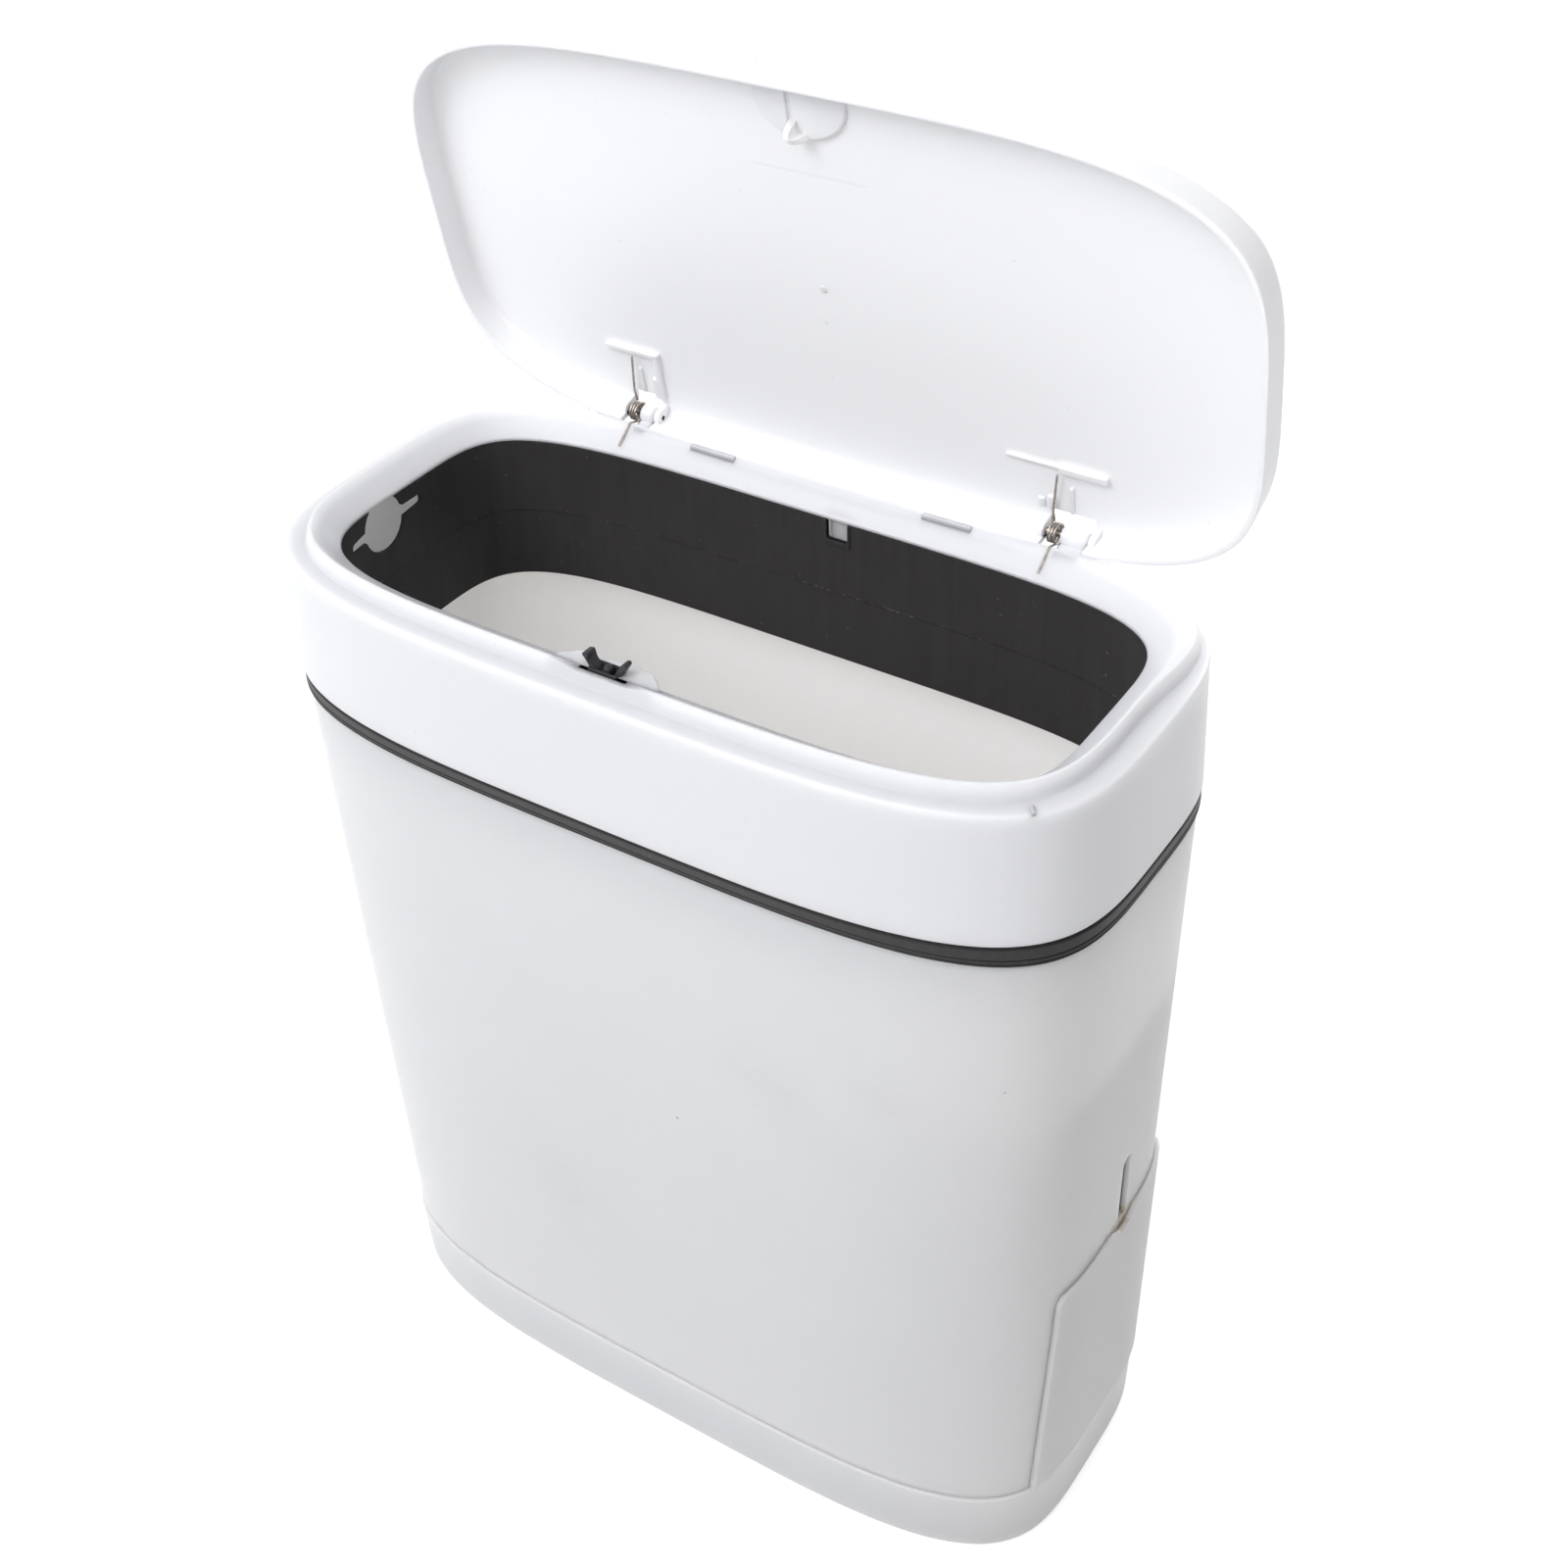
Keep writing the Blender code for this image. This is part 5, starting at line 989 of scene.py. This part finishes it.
latch = dict(
    half=(5.55, 2.9), wall=0.8, top=369.0, foot=350.0, x=-0.6, y=-63.4, plungerHalf=(4.4, 1.8),
    plungerTop=365.5, plungerFoot=360.4, knobTop=370.3, knobRadius=1.4, knobHalf=1.75, knobWaist=0.10,
    neckHalf=(1.2, 1.5), clawLength=9.4, clawThick=1.25, clawHalf=2.1, hook=0.9, fingerLonger=0.2,
    fingerThick=1.7, fingerWide=0.82, pivotX=2.6, pivotZ=365.7, lean=34.5, coil=1.4, wire=0.3,
    turns=5, springFoot=350.8, keep=0.43)


def makeHousing():
    # rounded rectangles stacked up outside, over the lip and down inside
    h, foot, top, wall = latch, latch["foot"], latch["top"], latch["wall"]
    rows = ((0.25, foot), (0, foot + 0.25), (0, top - 0.3), (0.08, top - 0.08), (0.25, top),
            (wall - 0.25, top), (wall - 0.08, top - 0.08), (wall, top - 0.3), (wall, foot + 1.0),
            (wall + 0.2, foot + 0.8))
    rings = []
    for inset, z in rows:
        wide, deep = h["half"][0] - inset, h["half"][1] - inset
        ring = rectangle((h["x"] - wide, h["y"] - deep), (h["x"] + wide, h["y"] + deep), 0.7, 5)
        rings.append(np.column_stack([ring, np.full(len(ring), z)]))
    thing = asMesh("latchHousingPiece", lathe(np.stack(rings)))
    finishPiece(thing, latchFinish, "collar", "latch_housing")


def makePlunger():
    # block with a saddle-backed knob: a short barrel lying across, dipped between the claws, its
    # radius (1 - waist cos(2 pi v)) sin(pi v)^0.18 at share v of the way along
    h, x, y, (wide, deep) = latch, latch["x"], latch["y"], latch["plungerHalf"]
    top, radius = h["plungerTop"], h["knobRadius"]
    block = roundedBlock((x - wide, y - deep, h["plungerFoot"]), (x + wide, y + deep, top), 0.3)
    v = np.linspace(0, 1, 24)[:, None]
    reach = radius * (1 - h["knobWaist"] * np.cos(v * 2 * np.pi))
    reach = reach * np.sin(np.pi * np.clip(v, 0.04, 0.96)) ** 0.18
    turn = np.linspace(0, 2 * np.pi, 36, endpoint=False)[None, :]
    middle, (neckWide, neckDeep) = h["knobTop"] - radius - 0.1, h["neckHalf"]
    barrel = np.stack([reach * np.cos(turn), y + h["knobHalf"] * (2 * v - 1) + 0 * turn,
                       middle + reach * np.sin(turn)], axis=2)
    neck = roundedBlock((-neckWide, y - neckDeep, top - 0.3), (neckWide, y + neckDeep, middle), 0.3)
    thing = asMesh("latchPlungerPiece", block, lathe(barrel), neck)
    finishPiece(thing, latchFinish, "latch", "latch_plunger")


def makeClaw(name, side, node, body):
    # an outline in the claw's own plane, drawn out along Y, then leant over about its pivot
    h, x = latch, -side     # x points inwards
    if side < 0:    # flat jaw with a stepped hook and a raised pad on its face
        t, end, half = h["clawThick"] / 2, h["clawLength"], h["clawHalf"]
        hook = x * (t + h["hook"])
        outline = [(x * t, 0.2), (0, -0.3), (-x * t, 0.4), (-x * t * 1.15, end - 0.5),
                   (-x * t * 0.5, end), (hook, end - 0.7), (hook, end - 1.6), (x * t, end - 2.5)]
        radii = [0.2, 0.4, 0.2, 0.3, 0.3, 0.25, 0.2, 0.25]
        extra = [roundedBlock((x * t - 0.15, -0.9, 2.2), (x * t + 0.22, 0.9, 4.6), 0.12)]
    else:           # finger with a round end
        t, end = h["fingerThick"] / 2, h["clawLength"] + h["fingerLonger"]
        half, extra = h["clawHalf"] * h["fingerWide"], []
        outline = [(x * t, 0.2), (0, -0.3), (-x * t, 0.4), (-x * t, end - 1.6), (-x * t * 0.7, end),
                   (x * t * 0.7, end), (x * (t + 0.35), end - 1.4)]
        radii = [0.2, 0.4, 0.2, 0.9, 0.6, 0.6, 0.9]
    outline = softCorners(outline, radii, 4, support=0)
    place, lean = (side * h["pivotX"], h["y"], h["pivotZ"]), x * h["lean"]
    shells = [drawnOut(outline, -half, half, (0.3, 0.3), "Y")] + extra
    thing = asMesh(name, *[(turned(points, lean, (0, 2)) + place, *faces) for points, *faces in shells])
    finishPiece(thing, latchFinish, body, node)


def makeLatchSpring():
    # a helix whose ends lie closer, its height going as smooth(share)
    h, x, y = latch, latch["x"], latch["y"]
    share = np.linspace(0, 1, 200)
    turn, low, high = 2 * np.pi * h["turns"] * share, h["foot"] + 1.5, h["plungerFoot"] - 0.6
    path = np.stack([x + h["coil"] * np.cos(turn), y + h["coil"] * np.sin(turn),
                     low + (high - low) * smooth(share)], axis=1)
    thing = asMesh("latchSpringPiece", tube(path, h["wire"], 10))
    finishPiece(thing, wireFinish, "collar", "latch_spring")
    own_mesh(thing)


# Brush caddy: curved panel with its thumb notch and key, and the cup behind it

def endX(growth, height, y):
    # how far the body's end reaches: half length * (1 - |y / half width|^power)^(1 / power)
    foot, top = binSize["bodyFoot"], binSize["bodyTop"]
    share = (height - binSize["shoulder"]) / (binSize["bodyRim"] - binSize["shoulder"])
    long, wide = (foot[i] + (top[i] - foot[i]) * share + growth for i in (0, 1))
    return long * (1 - np.abs(y / wide) ** foot[2]) ** (1 / foot[2])


def edged(length, count, radius):
    # stations from 0 to length, crowded over the rounded rim at both ends
    rim = radius * (1 - np.cos(np.linspace(0, np.pi / 2, 6)))
    middle = np.linspace(rim[-1], length - rim[-1], count)[1:-1]
    return np.concatenate([rim, middle, length - rim[::-1]])


def makePanel():
    # x over (y, z): the body's end surface moved out; at distance d from the flat part the rim drops
    # by r - sqrt(r^2 - d^2)
    p, foot, high, r = panel, binSize["shoulder"], panel["top"], panel["edgeRound"]
    topWide, notch, depth = p["topHalfWidth"], p["notchWidth"], p["notchDepth"]
    across = edged(2 * topWide, p["columns"], r) / topWide - 1
    up = edged(high - foot, p["rows"], r) / (high - foot)
    radius = (notch ** 2 / 4 + depth ** 2) / (2 * depth)
    side = across * topWide
    dip = depth - radius + np.sqrt(np.maximum(radius ** 2 - side ** 2, 0))
    dip = 0.5 * (dip + np.sqrt(dip ** 2 + 0.25)) * (np.abs(side) < notch)
    z = foot + up[:, None] * (high - dip[None, :] - foot)
    half = p["footHalfWidth"] + (z - foot) / (high - foot) * (topWide - p["footHalfWidth"])
    over = np.maximum(z - (high - p["corner"]), 0) / p["corner"]
    half = half - p["corner"] * 0.9 * (1 - np.sqrt(np.maximum(1 - over ** 2, 0)))
    y = p["y"] + across[None, :] * half
    inY = np.maximum(r - (1 - np.abs(across)) * topWide, 0)[None, :]
    inZ = np.maximum(r - np.minimum(up, 1 - up) * (high - foot), 0)[:, None]
    deep = np.minimum(np.sqrt(inY ** 2 + inZ ** 2), r)
    drop = r - np.sqrt(np.maximum(r * r - deep * deep, 0))
    front = np.stack([endX(p["offset"] + p["thickness"] - drop, z, y), y, z], axis=2)
    back = np.stack([endX(p["offset"] + drop, z, y), y, z], axis=2)
    thing = asMesh("caddyPanelPiece", sheetShell(front, back), keyShell())
    finishPiece(thing, panelPlastic(), "caddy", "caddy_panel", sharp=50.0)


def keyShell():
    # plug behind the panel that shuts the foot of the body's slot
    p, top = panel, panel["keyTop"]
    y = (p["y"] + np.linspace(-1, 1, 9) * p["keyWidth"] / 2)[None, :]
    rows = ((131.0, 0.5), (136.0, 0.5), (136.6, 0.5), (136.75, -0.15), (139.0, -0.15),
            (top - 0.3, -0.15), (top, -0.45))   # height, how far out of the body's end
    z, out = (np.array(column)[:, None] for column in zip(*rows))
    y, z, out = np.broadcast_arrays(y, z, out)
    return sheetShell(*[np.stack([endX(reach, z, y), y, z], axis=2) for reach in (out, p["keyBack"])])


panelLook = dict(grey=(0.640, 0.610, 0.595), scratch=(0.80, 0.78, 0.76), key=(0.60, 0.50, 0.38),
                 chip=((150.2, -41.9, 52.0), 1.5, (0.13, 0.11, 0.10)), foot=(0.45, 0.37, 0.31))


def panelPlastic():
    # cooler and greyer than the body; scuffs, a dirty edge, a stained key
    finish, look = bodyPlastic("panelFinish"), panelLook
    finish.paint(0.45, look["grey"])
    dirt = finish.noise(4.0, 3.0, 0.7)
    scratch = finish.noise(5.0, 4.0, 0.8, stretch=(1.0, 1.0, 0.35)).above(0.62, 9)
    finish.paint(scratch * 0.25, look["scratch"])
    key = finish.between(finish.y, 2.4, 8.8, 0.3) * finish.between(finish.z, 137.4, 143.0, 0.8)
    finish.paint((key * (0.6 + dirt * 0.6)).clamped(), look["key"])
    place, radius, colour = look["chip"]
    finish.paint(finish.near(place, radius, 3.0) * 0.85, colour)
    foot = finish.between(finish.z, 30.0, 33.2, 1.5)
    finish.paint((foot * (dirt * 1.2)).clamped() * 0.5, look["foot"])
    return finish


cup = dict(back=83.5, half=39.0, corner=6.0, front=0.1, foot=36.1, floor=38.1, top=118.1, wall=2.0,
           arc=9, frontCount=41)


def cupOutline(inset):
    # rounded back corners, then the body's end surface in front
    c, middle = cup, panel["y"]
    turn = np.linspace(0, np.pi / 2, c["arc"])
    radius, half, back = c["corner"] - inset, c["half"] - inset, c["back"] + inset
    left = np.stack([back + radius - radius * np.sin(turn),
                     middle + half - radius + radius * np.cos(turn)], axis=1)
    right = left[::-1] * (1, -1) + (0, 2 * middle)
    y = middle + np.linspace(-half, half, c["frontCount"])
    front = np.stack([endX(c["front"] - inset, binSize["shoulder"], y), y], axis=1)
    return np.vstack([left, right, front])


def makeCup():
    # how far in, height: up the outside, over the rim and down to the floor inside
    c, foot, top, wall = cup, cup["foot"], cup["top"], cup["wall"]
    rows = ((0.9, foot), (0.25, foot + 0.25), (0.0, foot + 0.9), (0.0, top - 0.5), (0.12, top - 0.15),
            (0.45, top), (wall - 0.45, top), (wall - 0.12, top - 0.15), (wall, top - 0.5),
            (wall, c["floor"] + 1.4), (wall + 0.4, c["floor"] + 0.4), (wall + 1.4, c["floor"]))
    count = 2 * c["arc"] + c["frontCount"]
    rings = np.stack([np.column_stack([cupOutline(inset), np.full(count, z)]) for inset, z in rows])
    thing, finish = asMesh("caddyCupPiece", lathe(rings)), bodyPlastic("cupFinish")
    finishPiece(thing, finish, "caddy", "caddy_cup", sharp=40.0)


# Brush

brush = dict(
    x=119.35, foot=38.4, bristleHeight=60.0, bristleRadius=27.0, edge=6.0, stem=4.0, stemFoot=6.0,
    collet=13.0, colletFoot=98.7, colletTop=102.7, stemTop=108.7, grip=6.5, gripFoot=103.0,
    grooveFoot=108.0, grooveTop=113.0, gripTop=133.5, bladeHalf=2.7, holeX=133.3, holeZ=157.4,
    hole=8.5, corner=5.0, left=102.8, right=154.0, top=170.9, neckX=125.8, bladeFoot=130.0,
    shoulderZ=143.5, rampZ=148.5, strandRows=26, strandTurns=44, strand=0.34, droop=2.2, seed=11)


def spun(profile, sides=64):
    # radius and height pairs turned round the brush's axis
    profile = np.asarray(profile, float)
    turn = np.linspace(0, 2 * np.pi, sides, endpoint=False)[None, :]
    r, z = profile[:, 0:1], profile[:, 1:2]
    rings = [brush["x"] + r * np.cos(turn), panel["y"] + r * np.sin(turn), z + 0 * turn]
    return lathe(np.stack(rings, axis=2))


def makeBristles():
    # strand i leaves the stem at height h and angle a, droops by 2.2 s^2 mm, less near the foot, and
    # ends on a barrel with round edges
    b, rng = brush, np.random.default_rng(brush["seed"])
    counts = b["strandRows"], b["strandTurns"]
    row, step = (grid.ravel() for grid in np.meshgrid(*map(np.arange, counts), indexing="ij"))
    share = (row + 0.5) / counts[0] + rng.uniform(-0.012, 0.012, row.size)
    low, high = b["foot"], b["foot"] + b["bristleHeight"]
    h = low + 1.5 + (high - low - 3.0) * share
    turn = (step + (row % 2) * 0.5) / counts[1] * 2 * np.pi + rng.uniform(-0.05, 0.05, row.size)
    inEdge = np.maximum(b["edge"] - np.minimum(h - low, high - h), 0)
    inset = b["edge"] - np.sqrt(np.maximum(b["edge"] ** 2 - inEdge ** 2, 0))
    reach = b["bristleRadius"] - 0.6 - inset - rng.uniform(0, 1.1, row.size)
    s, root = np.linspace(0, 1, 7)[None, :], b["stem"] - 0.6
    r = root + (reach[:, None] - root) * s
    droop = b["droop"] * s ** 2 * np.clip((h - low - 1.0) / 6.0, 0, 1)[:, None]
    angle = turn[:, None] + rng.normal(0, 0.05, row.size)[:, None] * s ** 2
    spine = np.stack([b["x"] + r * np.cos(angle), panel["y"] + r * np.sin(angle), h[:, None] - droop],
                     axis=2)[:, :, None]
    sideways = np.stack([-np.sin(angle), np.cos(angle), 0 * angle], axis=2)[:, :, None]
    around = np.linspace(0, 2 * np.pi, 5, endpoint=False)[:, None]
    thick = b["strand"] * np.array([1, 1, 1, 1, 1, 0.9, 0.5])[:, None, None]
    rings = spine + thick * (np.cos(around) * sideways + np.sin(around) * np.array((0.0, 0.0, 1.0)))
    index = np.arange(rings.size // 3).reshape(rings.shape[:3])
    ends = np.vstack([index[:, 0, ::-1], index[:, -1]])
    thing = asMesh("bristlesPiece", (rings.reshape(-1, 3), gridQuads(wrapped(index, 2)), ends))
    finishPiece(thing, nylon("bristleFinish"), "brush", "brush_bristles")


def makeBrushHead():
    # stem with a round foot, collet, and the stem's upper end
    b, stem, collet = brush, brush["stem"], brush["collet"]
    low, foot, top, end = b["foot"] + b["stemFoot"], b["colletFoot"], b["colletTop"], b["stemTop"]
    thing = asMesh("brushHeadPiece", spun([
        (stem - 1.2, low), (stem - 0.4, low + 0.4), (stem, low + 1.2), (stem, foot),
        (collet - 0.5, foot), (collet, foot + 0.5), (collet, top - 0.7), (collet - 0.25, top - 0.2),
        (collet - 0.9, top), (stem + 3.1, top), (stem, top), (stem, end - 0.6), (stem - 0.6, end)]))
    finishPiece(thing, brushPlastic("brushHeadFinish"), "brush", "brush_head")


def makeHandle():
    # round grip with a bored foot, and a flat blade with a hanging hole
    b, bore, wide, neck = brush, brush["stem"] + 0.3, brush["grip"], brush["grip"] - 0.35
    foot, top, low, high = (b[key] for key in ("gripFoot", "gripTop", "grooveFoot", "grooveTop"))
    grip = spun([(bore - 0.3, b["stemTop"] + 0.3), (bore, b["stemTop"]), (bore, foot),
                 (wide - 0.5, foot), (wide, foot + 0.5), (wide, low), (neck, low + 1), (neck, high - 1),
                 (wide, high), (wide, top - 1.2), (neck, top - 0.35), (wide - 1.2, top)])
    corners = [(b["left"], b["bladeFoot"]), (b["neckX"], b["bladeFoot"]), (b["neckX"], b["shoulderZ"]),
               (b["right"], b["rampZ"]), (b["right"], b["top"]), (b["left"], b["top"])]
    outline = softCorners(corners, [1.0, 1.0, 2.5, 2.0, b["corner"], b["corner"]], 8, support=0)
    low, high = panel["y"] - b["bladeHalf"], panel["y"] + b["bladeHalf"]
    thing = asMesh("handlePiece", drawnOut(outline, low, high, (0.7, 0.7), "Y"))
    hole = circleOf((b["holeX"], b["holeZ"]), b["hole"], 64)
    cut(thing, drawnOut(hole, low - 3, high + 3, axis="Y"))
    addShells(thing, grip)
    finishPiece(thing, brushPlastic("handleFinish"), "brush", "brush_handle")


# Everything is made here

makeTray(), makeBody(), makeBagRing()
print("tray, body and bag ring made")
makeCollar()
print("collar made")
makeLid(), makeStriker()
print("lid and striker made")
wireFinish = springWire("wireFinish")
latchFinish = blackPlastic("latchFinish", (0.034, 0.033, 0.036), 0.32, 0.35)
for side, x, length in hinge["places"]:
    makePin(side, x, length)
for side, x, _ in hinge["places"]:
    makeSpring(side, x)
print("pins and springs made")
makeHousing(), makePlunger(), makeLatchSpring()
makeClaw("leftClawPiece", -1, "latch_claw_left", "claw_left")
makeClaw("rightClawPiece", 1, "latch_claw_right", "claw_right")
print("latch made")
makePanel(), makeCup()
makeBristles(), makeBrushHead(), makeHandle()
print("caddy and brush made")
bayFinish = bodyPlastic("bayFinish")
for node in ("brush_bay", "bay_stand"):
    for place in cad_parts[node].material_slots:
        place.material = bayFinish.material


# Floor, light and camera

coolLight, warmLight = (0.97, 0.98, 1.0), (1.0, 0.985, 0.96)
studio = dict(
    floorSize=8.0, floorDrop=0.05, floorColour=(0.80, 0.80, 0.80), floorGlow=0.42,
    skyLight=0.34, sky=(0.975, 0.985, 1.0), target=(0.0, 0.0, 0.25),     # metres here
    lamps=dict(     # place, size, power, colour
        keyLamp=((-0.90, -1.70, 2.10), 1.4, 31.0, coolLight),
        fillLamp=((-0.30, -1.90, 1.72), 1.3, 12.0, coolLight),
        mouthLamp=((1.05, -1.50, 1.74), 1.0, 5.0, warmLight),
        sideLamp=((2.10, -0.90, 1.10), 1.4, 3.2, warmLight),
        leftLamp=((-2.2, -0.9, 1.2), 1.4, 8.0, coolLight),
        topLamp=((0.3, -1.0, 2.6), 1.2, 9.0, (1.0, 1.0, 1.0)),
        backLamp=((0.1, 2.3, 1.3), 1.4, 34.0, (1.0, 1.0, 1.0))))
cameraLook = dict(place=(0.35326, -0.48563, 0.74774), yaw=34.424, pitch=37.903, roll=-2.344,
                  lens=49.53, sensor=36.0)      # place in metres


def seenRays(tree):
    # 1 for camera, glossy and transmission rays
    path = tree.nodes.new("ShaderNodeLightPath")
    camera, glossy, through = (Signal(tree, path.outputs[f"Is {kind} Ray"])
                               for kind in ("Camera", "Glossy", "Transmission"))
    seen = camera.math("MAXIMUM", camera, glossy)
    return seen.math("MAXIMUM", seen, through)


def makeFloor():
    side = np.linspace(-1, 1, 9) * studio["floorSize"] / 2 / mm
    x, y = (grid.ravel() for grid in np.meshgrid(side, side))
    points = np.stack([x, y, np.full(x.size, -studio["floorDrop"])], axis=1)
    quads = gridQuads(np.arange(x.size).reshape(9, 9))
    thing = asMesh("studioFloor", (points, quads, np.zeros((0, 3), int)))
    finish = Finish("floorFinish", studio["floorColour"], 0.9, Emission_Strength=studio["floorGlow"])
    finish.feed("Roughness", 0.85 + finish.noise(4.0, 2.0, 0.5) * 0.1)
    finish.feed("Emission Color", finish.mix(seenRays(finish.tree), (0, 0, 0, 1), (1, 1, 1, 1)))
    thing.data.materials.append(finish.material)


def makeWorld():
    # the sky's own light for everything but the rays that see it, which find it white
    world = bpy.data.worlds.new("studioWorld")
    world.use_nodes = True
    bpy.context.scene.world = world
    nodes, links = world.node_tree.nodes, world.node_tree.links
    nodes.clear()
    light, seen, mix, out = (nodes.new("ShaderNode" + kind) for kind in (
        "Background", "Background", "MixShader", "OutputWorld"))
    light.inputs[0].default_value = (*studio["sky"], 1)
    light.inputs[1].default_value = studio["skyLight"]
    seen.inputs[0].default_value, seen.inputs[1].default_value = (1, 1, 1, 1), 1.0
    links.new(seenRays(world.node_tree).socket, mix.inputs[0])
    links.new(light.outputs[0], mix.inputs[1])
    links.new(seen.outputs[0], mix.inputs[2])
    links.new(mix.outputs[0], out.inputs[0])


def makeLamps():
    for name, (place, size, power, colour) in studio["lamps"].items():
        lamp = bpy.data.lights.new(name, "AREA")
        lamp.shape, lamp.size, lamp.energy, lamp.color = "SQUARE", size, power, colour
        thing = bpy.data.objects.new(name, lamp)
        thing.location = place
        aim = Vector(studio["target"]) - Vector(place)
        thing.rotation_euler = aim.to_track_quat("-Z", "Y").to_euler()
        bpy.context.scene.collection.objects.link(thing)


def makeCamera():
    c = cameraLook
    yaw, pitch, roll = (math.radians(c[key]) for key in ("yaw", "pitch", "roll"))
    level = math.cos(pitch)
    forward = Vector((-math.sin(yaw) * level, math.cos(yaw) * level, -math.sin(pitch)))
    right = Vector((math.cos(yaw), math.sin(yaw), 0))
    up = right.cross(forward)
    across, over = math.cos(roll), math.sin(roll)
    right, up = right * across + up * over, up * across - right * over
    data = bpy.data.cameras.new("photoCamera")
    data.lens, data.sensor_width, data.clip_start = c["lens"], c["sensor"], 0.01
    thing = bpy.data.objects.new("photoCamera", data)
    turn = Matrix((right, up, -forward)).transposed().to_4x4()
    thing.matrix_world = Matrix.Translation(c["place"]) @ turn
    bpy.context.scene.collection.objects.link(thing)
    bpy.context.scene.camera = thing


makeFloor(), makeWorld(), makeLamps(), makeCamera()
bpy.context.scene.view_settings.view_transform = "Standard"
print("studio made")
